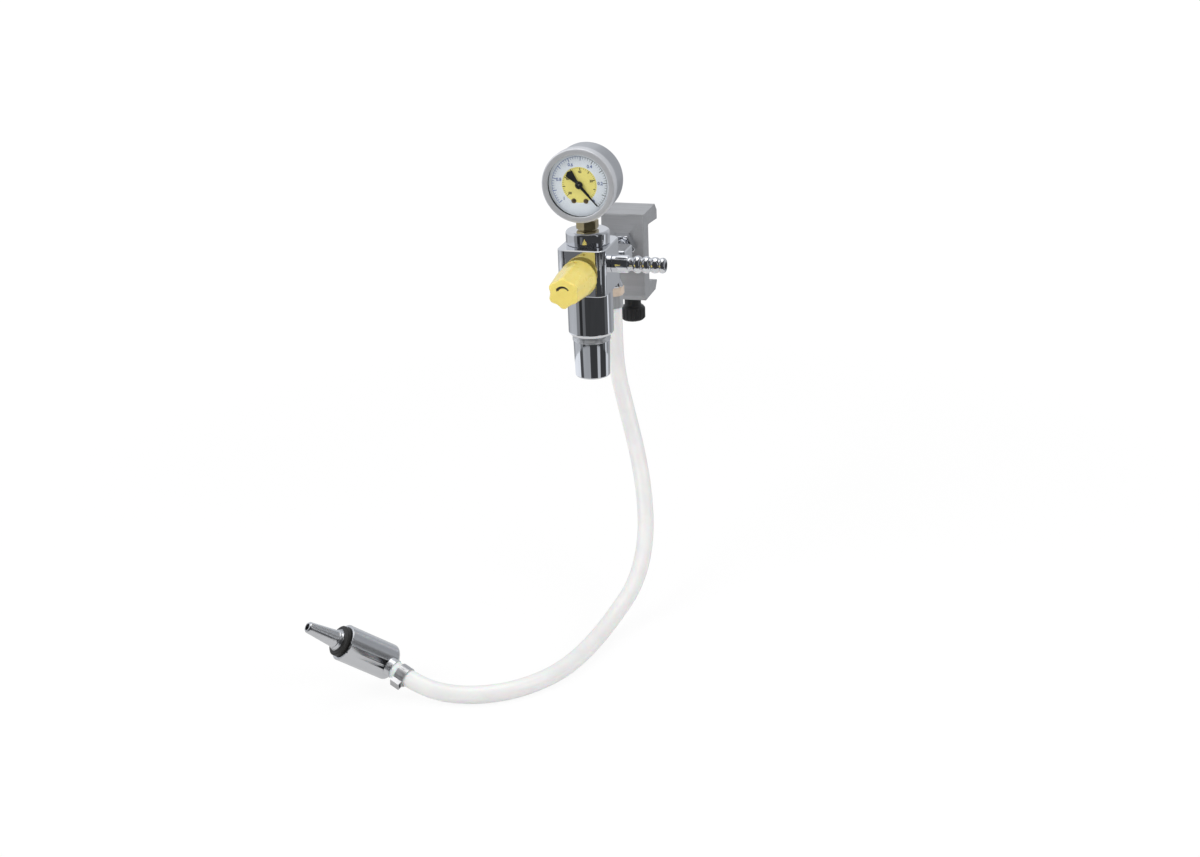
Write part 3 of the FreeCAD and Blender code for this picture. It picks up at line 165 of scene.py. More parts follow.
class Finish:
    """One material and the nodes that its finish is made of."""

    def __init__(self, name):
        self.material = bpy.data.materials.new(name)
        self.material.use_nodes = True
        self.tree = self.material.node_tree
        self.tree.nodes.clear()
        self.output = self.tree.nodes.new("ShaderNodeOutputMaterial")

    def node(self, kind, settings=None, output=0, **inputs):
        """Any node: its settings first, then the values or links of its sockets by name."""
        made = self.tree.nodes.new(kind)
        for key, value in (settings or {}).items():
            setattr(made, key, value)
        for key, item in inputs.items():
            join(self.tree, made.inputs[key.replace("_", " ")], item)
        return Shade(self.tree, made.outputs[output])

    def place(self, scale=(1, 1, 1), shift=(0, 0, 0)):
        """The piece's own coordinates, stretched and shifted."""
        where = self.node("ShaderNodeTexCoord", output="Object")
        return self.node("ShaderNodeMapping", Vector=where, Scale=scale, Location=shift)

    def axes(self, centre=(0, 0, 0)):
        """The three coordinates in millimetres from a centre given in metres."""
        where = self.place(scale=(1000, 1000, 1000), shift=tuple(-1000 * c for c in centre))
        split = self.tree.nodes.new("ShaderNodeSeparateXYZ")
        join(self.tree, split.inputs[0], where)
        return [Shade(self.tree, out) for out in split.outputs]

    def noise(self, size, stretch=(1, 1, 1), detail=4.0, rough=0.55):
        """Noise whose grains are about this many metres across."""
        return self.node("ShaderNodeTexNoise", Vector=self.place(scale=stretch), Scale=1.0 / size,
                         Detail=detail, Roughness=rough)

    def blend(self, factor, first, second):
        """A colour between two others."""
        made = self.tree.nodes.new("ShaderNodeMix")
        made.data_type = "RGBA"
        join(self.tree, made.inputs["Factor"], factor)
        join(self.tree, made.inputs[6], first)
        join(self.tree, made.inputs[7], second)
        return Shade(self.tree, made.outputs[2])

    def bump(self, height, depth, strength=1.0):
        """A normal from a height, whose full step is this many metres deep."""
        return self.node("ShaderNodeBump", Height=height, Distance=depth, Strength=strength)

    def surface(self, color, rough, metal=0.0, normal=None, **fixed):
        """The Principled shader, with what stays the same all over set on its own sockets."""
        shader = self.tree.nodes.new("ShaderNodeBsdfPrincipled")
        join(self.tree, shader.inputs["Base Color"], color)
        join(self.tree, shader.inputs["Roughness"], rough)
        join(self.tree, shader.inputs["Metallic"], metal)
        if normal is not None:
            join(self.tree, shader.inputs["Normal"], normal)
        for key, value in fixed.items():
            shader.inputs[key.replace("_", " ")].default_value = value
        return Shade(self.tree, shader.outputs[0])

    def use(self, shader):
        join(self.tree, self.output.inputs["Surface"], shader)
        return self.material


# Settings that a user would change

class CameraSettings(bpy.types.PropertyGroup):
    azimuth: FloatProperty(name="Azimuth", default=math.radians(16.47), subtype="ANGLE",
                           description="How far the camera stands to the right of the dial's front")
    elevation: FloatProperty(name="Elevation", description="How far the camera looks down",
                             default=math.radians(21.39), subtype="ANGLE")
    roll: FloatProperty(name="Roll", description="How far the camera leans", default=math.radians(-2.09),
                        subtype="ANGLE")
    place: FloatVectorProperty(name="Place", description="Where the camera stands",
                               default=(0.3339, -1.2213, 0.3524), subtype="TRANSLATION", unit="LENGTH")
    lens: FloatProperty(name="Lens", description="Focal length on a 36 mm sensor", default=51.48, min=10,
                        max=200)


class StageSettings(bpy.types.PropertyGroup):
    floor_height: FloatProperty(name="Floor", description="Height of the floor that the hose lies on",
                                default=-0.232, unit="LENGTH")
    key_power: FloatProperty(name="Key light", description="Power of the large light at the left",
                             default=24.0, subtype="POWER", unit="POWER")
    fill_power: FloatProperty(name="Fill light", description="Power of the light at the right", default=11.0,
                              subtype="POWER", unit="POWER")
    world_light: FloatProperty(name="Room light", description="Strength of the light from all round",
                               default=0.55, min=0, max=2)
    mirrored: FloatProperty(name="Mirrored white", description="Brightness of the white floor in reflections",
                            default=0.68, min=0, max=1)
    dark_band: FloatProperty(name="Dark band", default=0.05, min=0, max=1,
                             description="Brightness of the dark band that the chrome reflects")


class HoseSettings(bpy.types.PropertyGroup):
    diameter: FloatProperty(name="Diameter", description="Outside diameter of the hose", default=0.012,
                            unit="LENGTH")
    color: FloatVectorProperty(name="Colour", description="Colour of the milky hose",
                               default=(0.87, 0.875, 0.87), subtype="COLOR", size=3, min=0, max=1)


class DialSettings(bpy.types.PropertyGroup):
    ground: FloatVectorProperty(name="Ground", description="Colour of the dial's outer ring",
                                default=(0.90, 0.93, 0.98), subtype="COLOR", size=3, min=0, max=1)
    disc: FloatVectorProperty(name="Disc", description="Colour of the dial's middle",
                              default=(1.0, 0.86, 0.24), subtype="COLOR", size=3, min=0, max=1)
    zero: FloatProperty(name="Zero", description="Where the scale starts, clockwise from the top",
                        default=math.radians(139), subtype="ANGLE")
    sweep: FloatProperty(name="Sweep", description="Angle of the whole scale", default=math.radians(270),
                         subtype="ANGLE")
    outer_size: FloatProperty(name="Outer numbers", description="Height of the outer numbers", default=0.0031,
                              unit="LENGTH")
    inner_size: FloatProperty(name="Inner numbers", description="Height of the inner numbers", default=0.0024,
                              unit="LENGTH")


class FinishSettings(bpy.types.PropertyGroup):
    chrome: FloatVectorProperty(name="Chrome", description="Tint of the polished chrome",
                                default=(0.80, 0.81, 0.835), subtype="COLOR", size=3, min=0, max=1)
    aluminium: FloatVectorProperty(name="Aluminium", description="Tint of the satin clamp",
                                   default=(0.50, 0.505, 0.52), subtype="COLOR", size=3, min=0, max=1)
    yellow: FloatVectorProperty(name="Knob", description="Colour of the control knob",
                                default=(0.95, 0.78, 0.20), subtype="COLOR", size=3, min=0, max=1)
    black: FloatVectorProperty(name="Black", description="Colour of the black mouldings",
                               default=(0.012, 0.012, 0.013), subtype="COLOR", size=3, min=0, max=1)


SETTINGS = {
    "regulator_camera": CameraSettings,
    "regulator_stage": StageSettings,
    "regulator_hose": HoseSettings,
    "regulator_dial": DialSettings,
    "regulator_finish": FinishSettings,
}


def deselect():
    if bpy.context.mode != "OBJECT":
        bpy.ops.object.mode_set(mode="OBJECT")
    bpy.ops.object.select_all(action="DESELECT")


def select_only(piece):
    deselect()
    piece.select_set(True)
    bpy.context.view_layer.objects.active = piece


# How strongly the larger faces set the direction of a shared corner
LARGE_FACE_WEIGHT = 80


def smooth_copy(node, angle=32.0):
    """A copy of a CAD node's mesh with its triangles joined, so that its curves shade smoothly."""
    source = frame["nodes"][node]
    piece = bpy.data.objects.new(f"{node}.shown", source.data.copy())
    bpy.context.scene.collection.objects.link(piece)
    select_only(piece)
    bpy.ops.object.mode_set(mode="EDIT")
    bpy.ops.mesh.select_all(action="SELECT")
    bpy.ops.mesh.remove_doubles(threshold=0.000002)
    bpy.ops.object.mode_set(mode="OBJECT")
    bpy.ops.object.shade_smooth_by_angle(angle=math.radians(angle))
    # Large faces keep their own direction, so that small fillets don't bend the reflections in a wall
    bpy.ops.object.modifier_add(type="WEIGHTED_NORMAL")
    weighted = piece.modifiers[-1]
    weighted.mode = "FACE_AREA_WITH_ANGLE"
    weighted.weight = LARGE_FACE_WEIGHT
    weighted.keep_sharp = True
    bpy.ops.object.modifier_apply(modifier=weighted.name)
    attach(piece, source["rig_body"])
    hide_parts(node)
    deselect()
    return piece


def wear(piece, material):
    piece.data.materials.clear()
    piece.data.materials.append(material)


def dress(nodes, material, angle=32.0):
    """Give each of these nodes a smooth copy with the material."""
    shown = []
    for node in nodes:
        piece = smooth_copy(node, angle)
        wear(piece, material)
        shown.append(piece)
    return shown


# Finishes

def chrome(name, tint, rough=0.035):
    """Polished chrome plate: almost even, with faint wiping marks in its gloss."""
    f = Finish(name)
    cloud = f.noise(0.012, detail=5.0)
    wipe = f.noise(0.0012, stretch=(1, 1, 0.15), detail=3.0)
    gloss = rough + cloud.soft(0.45, 0.75) * 0.02 + wipe.soft(0.62, 0.8) * 0.02
    color = f.blend(cloud.soft(0.3, 0.8) * 0.25, tint, tuple(0.93 * c for c in tint))
    return f.use(f.surface(color, gloss, 1.0, f.bump(wipe, 0.00002, 0.15)))


def satin(name, tint, rough=0.26, metal=1.0):
    """Satin plate with fine turned lines round the gauge's axis."""
    f = Finish(name)
    lines = f.noise(0.0006, stretch=(0.08, 1, 0.08), detail=3.0)
    cloud = f.noise(0.015)
    gloss = rough + lines * 0.10 + cloud * 0.05
    color = f.blend(cloud.soft(0.3, 0.8) * 0.3, tint, tuple(0.92 * c for c in tint))
    return f.use(f.surface(color, gloss, metal, f.bump(lines, 0.00003, 0.3)))


def extruded_aluminium(name, tint):
    """Satin extruded bar: long fine draw lines along X and a dull, slightly blotched skin."""
    f = Finish(name)
    draw = f.noise(0.0004, stretch=(0.03, 1, 1), detail=4.0, rough=0.6)
    broad = f.noise(0.004, stretch=(0.05, 1, 1), detail=2.0)
    cloud = f.noise(0.02, detail=5.0)
    shade = draw.soft(0.35, 0.7) * 0.35 + broad.soft(0.4, 0.65) * 0.35 + cloud.soft(0.35, 0.7) * 0.3
    color = f.blend(shade, tint, tuple(0.80 * c for c in tint))
    gloss = 0.46 + draw * 0.16 + cloud * 0.06
    return f.use(f.surface(color, gloss, 0.7, f.bump(draw * 0.7 + broad * 0.3, 0.00005, 0.5)))


def bare_metal(name, tint, rough, metal=1.0):
    """Machined metal with turning marks."""
    f = Finish(name)
    marks = f.noise(0.0008, stretch=(0.3, 0.3, 1), detail=4.0)
    cloud = f.noise(0.006)
    color = f.blend(cloud.soft(0.35, 0.7) * 0.5, tint, tuple(0.78 * c for c in tint))
    return f.use(f.surface(color, rough + marks * 0.12, metal, f.bump(marks, 0.00004, 0.35)))


# A point on the thumb screw's axis
STUD_AXIS = (0, 0.0105, 0)


def threaded_steel(name, tint, pitch=1.25):
    """The thumb screw's stud: a rolled thread seen as ridges along Z, with painted shade darkening its
    grooves.
    """
    f = Finish(name)
    x, y, z = f.axes(STUD_AXIS)
    turn = x.angle(y) / math.tau
    ridge = ((z / pitch + turn) * math.pi).sin()
    height = abs(ridge)
    grime = f.noise(0.002)
    # Painted shade: the grooves between the thread's ridges are painted dark, where shade would fall
    color = f.blend((1 - height).soft(0.3, 0.9) * 0.7, tint, (0.12, 0.11, 0.10))
    return f.use(f.surface(color, 0.28 + grime * 0.15, 1.0, f.bump(height, 0.0006, 0.9)))


def moulded(name, tint, rough, grain=0.00035, depth=0.00002):
    """Moulded plastic: a very fine grain, small changes of gloss and a little colour drift."""
    f = Finish(name)
    skin = f.noise(grain, detail=2.0)
    cloud = f.noise(0.01, detail=4.0)
    color = f.blend(cloud.soft(0.35, 0.75) * 0.35, tint, tuple(0.90 * c for c in tint))
    return f.use(f.surface(color, rough + cloud * 0.10, 0.0, f.bump(skin, depth, 0.35)))


def rubber(name):
    f = Finish(name)
    skin = f.noise(0.0003)
    cloud = f.noise(0.004)
    color = f.blend(cloud.soft(0.4, 0.7), (0.016, 0.016, 0.017), (0.035, 0.034, 0.033))
    return f.use(f.surface(color, 0.5 + skin * 0.2, 0.0, f.bump(skin, 0.00003, 0.4)))


def knob_yellow(name, tint, face_y, centre):
    """Glossy yellow moulding, with a plain turning arrow printed on its front."""
    f = Finish(name)
    x, y, z = f.axes(centre)
    far = (x * x + z * z).root()
    turn = z.angle(x)
    # The arrow, in millimetres and radians: an arc over the middle of the face that grows towards its head
    radius, start, end = 4.6, 0.55, 2.45
    half = 0.50 + turn.soft(start, end - 0.05) * 0.40
    band = (abs(far - radius) < half) * (turn > start) * (turn < end)
    past_end = (turn - end) * radius
    head = (past_end > -0.05) * (abs(far - radius) < (1.25 - past_end * 0.75))
    head = head * (past_end < 1.6) * (turn > 0)
    mark = band.high(head) * (y < 1000 * (face_y - centre[1]) + 0.4)
    skin = f.noise(0.0005, detail=2.0)
    cloud = f.noise(0.012, detail=4.0)
    body = f.blend(cloud.soft(0.3, 0.75) * 0.5, tint, (0.92 * tint[0], 0.90 * tint[1], 0.8 * tint[2]))
    color = f.blend(mark, body, (0.03, 0.025, 0.02))
    return f.use(f.surface(color, 0.24 + cloud * 0.08, 0.0, f.bump(skin, 0.00002, 0.3), Coat_Weight=0.35,
                           Coat_Roughness=0.08, Subsurface_Weight=0.08, Subsurface_Scale=0.004))


def milky_hose(name, tint):
    """Translucent milky tube: faint clouds along it and a soft gloss."""
    f = Finish(name)
    cloud = f.noise(0.018, detail=4.0)
    fine = f.noise(0.0016, detail=3.0)
    color = f.blend(cloud.soft(0.35, 0.7), tint, tuple(0.95 * c for c in tint))
    gloss = 0.26 + cloud * 0.10 + fine.soft(0.55, 0.75) * 0.05
    return f.use(f.surface(color, gloss, 0.0, f.bump(fine, 0.00003, 0.2), Coat_Weight=0.25,
                           Coat_Roughness=0.10, Subsurface_Weight=0.35, Subsurface_Scale=0.004))


def dial_print(name, ground, disc, zero, sweep, centre):
    """Printed dial: a pale ring with its scale, and a yellow middle with a scale of its own."""
    f = Finish(name)
    x, _, z = f.axes(centre)
    far = (x * x + z * z).root()
    clockwise = x.angle(z)
    # Angle from the zero mark, growing anticlockwise along the scale
    along = (zero - clockwise) / math.tau
    along = (along - along.whole()) * math.tau
    inside = along < sweep + 0.012

    def ticks(count, half_width, start, end):
        step = sweep / count
        off = (along + step / 2).rest(step) - step / 2
        wide = abs(off) * far < half_width
        return wide * (far > start) * (far < end) * (inside.high(along > math.tau - 0.02))

    # Radii and half widths in millimetres
    outer_edge, inner_edge, disc_edge = 19.6, 12.1, 12.45
    outer = ticks(10, 0.22, 16.9, outer_edge).high(ticks(50, 0.11, 18.0, outer_edge))
    outer = outer.high((abs(far - outer_edge) < 0.12) * inside)
    inner = ticks(8, 0.28, 10.2, inner_edge).high(ticks(40, 0.10, 11.1, inner_edge))
    middle = far < disc_edge
    paper = f.noise(0.004, detail=4.0)
    ring = f.blend(paper.soft(0.3, 0.7) * 0.4, ground, tuple(0.95 * c for c in ground))
    color = f.blend(middle, ring, f.blend(paper.soft(0.3, 0.7) * 0.4, disc, tuple(0.94 * c for c in disc)))
    ink = f.blend(x.soft(-6.0, 8.0), (0.05, 0.12, 0.42), (0.05, 0.05, 0.06))
    color = f.blend(outer, color, ink)
    color = f.blend(inner, color, (0.03, 0.025, 0.01))
    return f.use(f.surface(color, 0.42 + paper * 0.1, 0.0, f.bump(paper, 0.00002, 0.2)))


def plain_ink(name, tint):
    f = Finish(name)
    paper = f.noise(0.0008)
    color = f.blend(paper.soft(0.4, 0.7) * 0.5, tint, tuple(min(1.0, c + 0.05) for c in tint))
    return f.use(f.surface(color, 0.4 + paper * 0.1))


def lens_glass(name):
    """Clear lens: the dial shows through it, with a faint film of dust and a weak mirror of the room."""
    f = Finish(name)
    dust = f.noise(0.006)
    clear = f.node("ShaderNodeBsdfTransparent", Color=(0.97, 0.98, 0.985))
    gloss = f.surface((0.95, 0.96, 0.97), 0.04 + dust * 0.05, 1.0)
    return f.use(mix_shaders(f, dust.soft(0.3, 0.8) * 0.015 + 0.02, clear, gloss))


def mix_shaders(f, factor, first, second):
    made = f.tree.nodes.new("ShaderNodeMixShader")
    join(f.tree, made.inputs[0], factor)
    join(f.tree, made.inputs[1], first)
    join(f.tree, made.inputs[2], second)
    return Shade(f.tree, made.outputs[0])


def ray_kinds(tree):
    """Three masks: what the camera sees, what mirrors see and what is seen through the lens."""
    rays = tree.nodes.new("ShaderNodeLightPath")
    kinds = ("Is Camera Ray", "Is Glossy Ray", "Is Transmission Ray")
    return [Shade(tree, rays.outputs[kind]) for kind in kinds]


# Stage

# The white ground's own light, and its share near the regulator, where the rest takes the shadow
GROUND_GLOW = 1.03
GROUND_SHARE = 0.86


class REGULATOR_OT_stage(bpy.types.Operator):
    """Set the camera, the floor, the world, the lights and the surround that the chrome reflects"""
    bl_idname = "regulator.stage"
    bl_label = "Stage"

    def execute(self, context):
        scene = context.scene
        view = scene.regulator_camera
        turn_cos, turn_sin = math.cos(view.azimuth), math.sin(view.azimuth)
        right = Vector((turn_cos, turn_sin, 0))
        back = Vector((turn_sin * math.cos(view.elevation), -turn_cos * math.cos(view.elevation),
                       math.sin(view.elevation)))
        up = back.cross(right)
        lean_right = right * math.cos(view.roll) + up * math.sin(view.roll)
        lean_up = up * math.cos(view.roll) - right * math.sin(view.roll)
        deselect()
        bpy.ops.object.camera_add(location=view.place)
        camera = context.object
        camera.name = "camera"
        camera.rotation_euler = Matrix((lean_right, lean_up, back)).transposed().to_euler()
        camera.data.sensor_width = 36.0
        camera.data.lens = view.lens
        camera.data.clip_end = 50.0
        scene.camera = camera
        stage = scene.regulator_stage
        self.floor(stage)
        self.world(scene, stage)
        self.surround(stage)
        self.lamp("key_light", (-1.5, -1.5, 1.5), (0, -0.1, 0), 1.6, stage.key_power)
        self.lamp("fill_light", (1.8, -0.6, 0.9), (0, -0.1, 0), 1.2, stage.fill_power)
        self.lamp("top_light", (0.1, 0.3, 1.9), (0, -0.15, 0), 1.6, stage.fill_power * 0.7)
        scene.view_settings.view_transform = "Standard"
        return {"FINISHED"}

    def floor(self, stage):
        bpy.ops.mesh.primitive_plane_add(size=14.0, location=(0, 0, stage.floor_height))
        floor = bpy.context.object
        floor.name = "floor"
        f = Finish("floor_white")
        camera, glossy, through = ray_kinds(f.tree)
        seen = camera.high(through)
        shown = seen.high(glossy)
        speck = f.noise(0.05)
        # Millimetres from the regulator over which the ground loses the last of the lamps' light
        x, y, _ = f.axes((0, -0.15, 0))
        far = (x * x + y * y).root().soft(450, 1100)
        paint = f.blend(speck * 0.3, (0.86, 0.86, 0.86), (0.82, 0.82, 0.82))
        lit = f.surface(paint, 0.9, Specular_IOR_Level=0.0)
        strength = seen * (GROUND_GLOW - stage.mirrored) + stage.mirrored
        white = f.node("ShaderNodeEmission", Color=(1, 1, 1), Strength=strength)
        share = shown * (far * (1 - GROUND_SHARE) + GROUND_SHARE)
        wear(floor, f.use(mix_shaders(f, share, lit, white)))

    def world(self, scene, stage):
        world = bpy.data.worlds.new("room")
        scene.world = world
        world.use_nodes = True
        tree = world.node_tree
        tree.nodes.clear()
        camera, glossy, through = ray_kinds(tree)
        shown = camera.high(through)
        gloss = glossy * (stage.mirrored + 0.1 - stage.world_light)
        light = tree.nodes.new("ShaderNodeBackground")
        join(tree, light.inputs["Color"], (1.0, 1.0, 1.0))
        join(tree, light.inputs["Strength"], shown * (1.0 - stage.world_light) + gloss + stage.world_light)
        output = tree.nodes.new("ShaderNodeOutputWorld")
        tree.links.new(light.outputs[0], output.inputs["Surface"])

    def surround(self, stage):
        """Rings on the floor and a wall that only reflections see, with the chrome's dark and light bands."""
        dark = stage.dark_band
        near = ((-181, -68, 0.95), (-68, -45, 0.08), (-45, 3, 0.42), (3, 49, dark), (49, 68, 0.55),
                (68, 113, dark), (113, 138, 0.75), (138, 181, 0.45))
        far = ((-181, -120, 0.36), (-120, -60, 0.55), (-60, -42, 0.25), (-42, -26, dark * 0.6),
               (-26, -12, 0.16), (-12, 90, dark), (90, 110, 0.12), (110, 119, 0.95), (119, 140, 0.30),
               (140, 181, 0.42))
        wall = ((-181, -60, 0.75), (-60, -42, 0.30), (-42, 62, dark), (62, 70, 0.60), (70, 96, dark),
                (96, 140, 0.40), (140, 181, 0.55))
        # Radius, width on the floor and height of each
        self.shell("near_ring", 0.34, 0.17, 0.0, near, stage)
        self.shell("far_ring", 0.51, 0.99, 0.0, far, stage)
        self.shell("round_wall", 1.5, 0.0, 3.2, wall, stage)

    def shell(self, name, radius, wide, tall, bands, stage):
        """A ring or round wall about the regulator that glows in bands.

        A band is its start, its end and its level. Bearings are in degrees, 0 in front and + to the right.
        """
        f = Finish(name)
        x, y, _ = f.axes()
        bearing = x.angle(0 - y) * (180 / math.pi)
        streak = f.noise(0.25, stretch=(1, 1, 0.02), detail=3.0)
        shade = 0
        for start, end, level in bands:
            shade = (bearing.soft(start - 2, start + 2) - bearing.soft(end - 2, end + 2)) * level + shade
        glow = f.node("ShaderNodeEmission", Color=(0.92, 0.95, 1.0), Strength=shade * (0.8 + streak * 0.4))
        bpy.ops.mesh.primitive_circle_add(vertices=180, radius=radius, fill_type="NOTHING",
                                          location=(0, -0.1045, stage.floor_height + 0.001))
        piece = bpy.context.object
        piece.name = name
        bpy.ops.object.mode_set(mode="EDIT")
        bpy.ops.mesh.select_all(action="SELECT")
        bpy.ops.mesh.extrude_region_move(TRANSFORM_OT_translate={"value": (0, 0, tall)})
        grow = (radius + wide) / radius
        bpy.ops.transform.resize(value=(grow, grow, 1), center_override=piece.location)
        bpy.ops.object.mode_set(mode="OBJECT")
        wear(piece, f.use(glow))
        piece.visible_camera = False
        piece.visible_diffuse = False
        piece.visible_shadow = False
        piece.visible_transmission = False
        deselect()

    def lamp(self, name, place, target, size, power):
        bpy.ops.object.light_add(type="AREA", location=place)
        lamp = bpy.context.object
        lamp.name = name
        lamp.data.shape = "DISK"
        lamp.data.size = size
        lamp.data.energy = power
        lamp.rotation_euler = (Vector(place) - Vector(target)).to_track_quat("Z", "Y").to_euler()


# Pieces

# The hose's route, point by point as the tube's, in metres
HOSE_ROUTE = [
    (0.0000, -0.0435, -0.0202),
    (0.0000, -0.0435, -0.0440),
    (0.0020, -0.0490, -0.0760),
    (0.0105, -0.0565, -0.1035),
    (0.0210, -0.0685, -0.1310),
    (0.0315, -0.0870, -0.1600),
    (0.0385, -0.1120, -0.1870),
    (0.0380, -0.1420, -0.2080),
    (0.0280, -0.1750, -0.2215),
    (0.0205, -0.2130, -0.2260),
    (0.0105, -0.2485, -0.2260),
    (-0.0075, -0.2735, -0.2260),
    (-0.0295, -0.2875, -0.2260),
    (-0.0530, -0.2930, -0.2250),
    (-0.0740, -0.2922, -0.2210),
    (-0.0920, -0.2867, -0.2145),
]


class REGULATOR_OT_hose(bpy.types.Operator):
    """Lay the milky inlet hose along its route, with the clip and the probe on its end"""
    bl_idname = "regulator.hose"
    bl_label = "Hose and probe"

    def execute(self, context):
        settings = context.scene.regulator_hose
        finish = context.scene.regulator_finish
        curve = bpy.data.curves.new("hose", "CURVE")
        curve.dimensions = "3D"
        curve.bevel_depth = settings.diameter / 2
        curve.bevel_resolution = 12
        curve.use_fill_caps = True
        spline = curve.splines.new("NURBS")
        spline.points.add(len(HOSE_ROUTE) - 1)
        for point, place in zip(spline.points, HOSE_ROUTE):
            point.co = (*place, 1.0)
        spline.order_u = 3
        spline.use_endpoint_u = True
        spline.resolution_u = 12
        hose = bpy.data.objects.new("hose", curve)
        context.scene.collection.objects.link(hose)
        curve.materials.append(milky_hose("milky_hose", settings.color))
        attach(hose, "regulator")
        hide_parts("inlet_hose")
        plate = chrome("probe_chrome", tuple(0.86 * c for c in finish.chrome), 0.22)
        probe = dress(["probe_sleeve", "probe_nozzle", "probe_branch"], plate)
        probe += dress(["hose_clip"], bare_metal("clip_steel", (0.55, 0.55, 0.56), 0.25))
        probe += dress(["probe_collar"], moulded("collar_black", (0.012, 0.011, 0.010), 0.42))
        return {"FINISHED"}


# The numbers on the dial: half their thickness, how much bolder they are set, and their lift off the face
INK_THICK = 0.00003
INK_WIDER = 0.00005
INK_LIFT = 0.00005


class REGULATOR_OT_dial(bpy.types.Operator):
    """Print the dial and set its numbers, and finish the pointer, the screws and the lens"""
    bl_idname = "regulator.dial"
    bl_label = "Dial"

    def execute(self, context):
        settings = context.scene.regulator_dial
        low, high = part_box("gauge_dial")
        centre = ((low.x + high.x) / 2, low.y, (low.z + high.z) / 2)
        paper = dial_print("dial_print", tuple(settings.ground), tuple(settings.disc), settings.zero,
                           settings.sweep, centre)
        dress(["gauge_dial"], paper)
        outer = [(text, float(text)) for text in ("0", "0.2", "0.4", "0.6", "0.8", "1")]
        inner = [(text, float(text) / 80) for text in ("0", "20", "40", "60", "80")]
        self.numbers("outer_numbers", outer, 0.0149, settings.outer_size, centre, settings,
                     plain_ink("blue_ink", (0.05, 0.10, 0.34)))
        self.numbers("inner_numbers", inner, 0.0090, settings.inner_size, centre, settings,
                     plain_ink("black_ink", (0.03, 0.025, 0.02)))
        dress(["gauge_pointer"], moulded("pointer_black", (0.010, 0.010, 0.010), 0.4))
        dress(["dial_screws"], bare_metal("screw_brown", (0.42, 0.30, 0.18), 0.3))
        dress(["gauge_lens"], lens_glass("lens"))
        return {"FINISHED"}

    def numbers(self, name, labels, radius, size, centre, settings, ink):
        """Set numbers round the dial, then make them one flat mesh on its face."""
        made = []
        for text, share in labels:
            bearing = settings.zero - settings.sweep * share
            deselect()
            bpy.ops.object.text_add()
            label = bpy.context.object
            label.data.body = text
            label.data.size = size
            label.data.align_x = "CENTER"
            label.data.align_y = "CENTER"
            label.data.extrude = INK_THICK
            label.data.offset = INK_WIDER
            bpy.ops.object.convert(target="MESH")
            label = bpy.context.object
            label.rotation_euler = (math.radians(90), 0, 0)
            label.location = (centre[0] + radius * math.sin(bearing), centre[1] - INK_LIFT,
                              centre[2] + radius * math.cos(bearing))
            bpy.ops.object.transform_apply(location=True, rotation=True, scale=True)
            made.append(label)
        deselect()
        for label in made:
            label.select_set(True)
        bpy.context.view_layer.objects.active = made[0]
        bpy.ops.object.join()
        piece = bpy.context.object
        piece.name = name
        wear(piece, ink)
        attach(piece, "regulator")
        deselect()


class REGULATOR_OT_gauge(bpy.types.Operator):
    """Finish the gauge's case, bezel, gasket, stem and movement"""
    bl_idname = "regulator.gauge"
    bl_label = "Gauge"

    def execute(self, context):
        dress(["gauge_case"], satin("case_satin", (0.58, 0.59, 0.61)))
        dress(["gauge_bezel"], satin("bezel_satin", (0.72, 0.73, 0.76), 0.38, 0.6))
        dress(["lens_gasket"], rubber("gasket_rubber"))
        dress(["gauge_stem"], bare_metal("stem_brass", (0.50, 0.42, 0.24), 0.24))
        dress(["movement_frame", "bourdon_tube"], bare_metal("brass", (0.70, 0.54, 0.27), 0.22))
        dress(["pointer_shaft"], bare_metal("shaft_steel", (0.5, 0.5, 0.5), 0.25))
        return {"FINISHED"}


class REGULATOR_OT_body(bpy.types.Operator):
    """Finish the chromed body, cap, housing, ring, cup, tail and link"""
    bl_idname = "regulator.body"
    bl_label = "Body and link"

    def execute(self, context):
        tint = tuple(context.scene.regulator_finish.chrome)
        plate = chrome("body_chrome", tint)
        # The blocks' flat sides stay flat up to their fillets
        dress(["body_block", "tee_block"], plate, 9.0)
        dress(["top_cap", "lower_housing", "filter_cup", "outlet_tail"], plate)
        dress(["inlet_nipple", "union_nut", "inlet_barb", "clamp_nipple", "locknut"], plate)
        dress(["cup_ring"], satin("ring_satin", (0.76, 0.77, 0.79), 0.28))
        dress(["hose_nut"], bare_metal("nut_brass", (0.98, 0.80, 0.64), 0.32, metal=0.45))
        dress(["hose_ferrule"], bare_metal("ferrule_steel", (0.60, 0.61, 0.62), 0.34, metal=0.7))
        dress(["spindle_gland", "valve_cage"], bare_metal("valve_brass", (0.70, 0.54, 0.27), 0.22))
        steel = bare_metal("valve_steel", (0.6, 0.6, 0.61), 0.2)
        dress(["valve_needle", "valve_spindle", "knob_screw"], steel)
        dress(["cap_o_ring", "ring_o_ring", "gland_o_ring"], rubber("seal_rubber"))
        dress(["filter_element"], moulded("filter_felt", (0.62, 0.60, 0.52), 0.7, grain=0.0006, depth=0.0002))
        return {"FINISHED"}


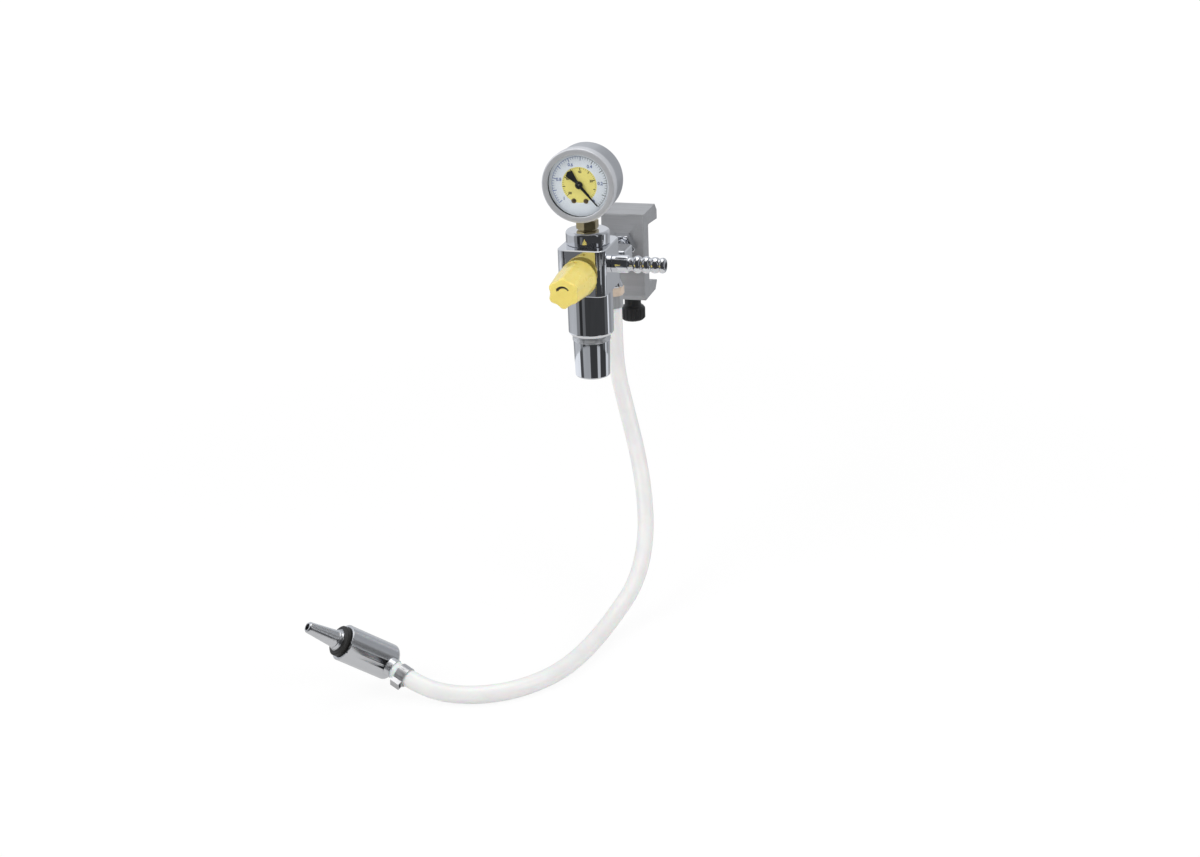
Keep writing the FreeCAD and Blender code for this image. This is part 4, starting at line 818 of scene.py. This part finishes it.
class REGULATOR_OT_knob(bpy.types.Operator):
    """Finish the yellow control knob with its turning arrow"""
    bl_idname = "regulator.knob"
    bl_label = "Control knob"

    def execute(self, context):
        low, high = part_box("control_knob")
        centre = ((low.x + high.x) / 2, low.y, (low.z + high.z) / 2)
        tint = tuple(context.scene.regulator_finish.yellow)
        dress(["control_knob"], knob_yellow("knob_yellow", tint, low.y, centre), 40.0)
        return {"FINISHED"}


class REGULATOR_OT_clamp(bpy.types.Operator):
    """Finish the rail clamp, its screw, its pad and the black thumb knob"""
    bl_idname = "regulator.clamp"
    bl_label = "Rail clamp"

    def execute(self, context):
        finish = context.scene.regulator_finish
        dress(["rail_clamp"], extruded_aluminium("clamp_aluminium", tuple(finish.aluminium)))
        dress(["thumb_stud"], threaded_steel("stud_steel", (0.56, 0.56, 0.57)))
        dress(["clamp_pad", "clamp_screw"], bare_metal("clamp_steel", (0.58, 0.58, 0.59), 0.28))
        dress(["thumb_knob"], moulded("thumb_black", tuple(finish.black), 0.34, grain=0.0004, depth=0.00005))
        return {"FINISHED"}


class REGULATOR_PT_panel(bpy.types.Panel):
    """The regulator's operators, in the order they run"""
    bl_idname = "REGULATOR_PT_panel"
    bl_label = "Vacuum regulator"
    bl_space_type = "VIEW_3D"
    bl_region_type = "UI"
    bl_category = "Regulator"

    def draw(self, context):
        for operator in OPERATORS:
            self.layout.operator(operator.bl_idname)


OPERATORS = (REGULATOR_OT_stage, REGULATOR_OT_hose, REGULATOR_OT_dial, REGULATOR_OT_gauge, REGULATOR_OT_body,
             REGULATOR_OT_knob, REGULATOR_OT_clamp)


def register():
    for name, group in SETTINGS.items():
        bpy.utils.register_class(group)
        setattr(bpy.types.Scene, name, PointerProperty(type=group))
    for operator in OPERATORS:
        bpy.utils.register_class(operator)
    bpy.utils.register_class(REGULATOR_PT_panel)


def unregister():
    bpy.utils.unregister_class(REGULATOR_PT_panel)
    for operator in reversed(OPERATORS):
        bpy.utils.unregister_class(operator)
    for name, group in SETTINGS.items():
        delattr(bpy.types.Scene, name)
        bpy.utils.unregister_class(group)


def main():
    register()
    bpy.ops.regulator.stage()
    bpy.ops.regulator.hose()
    bpy.ops.regulator.dial()
    bpy.ops.regulator.gauge()
    bpy.ops.regulator.body()
    bpy.ops.regulator.knob()
    bpy.ops.regulator.clamp()


if __name__ == "__main__":
    main()
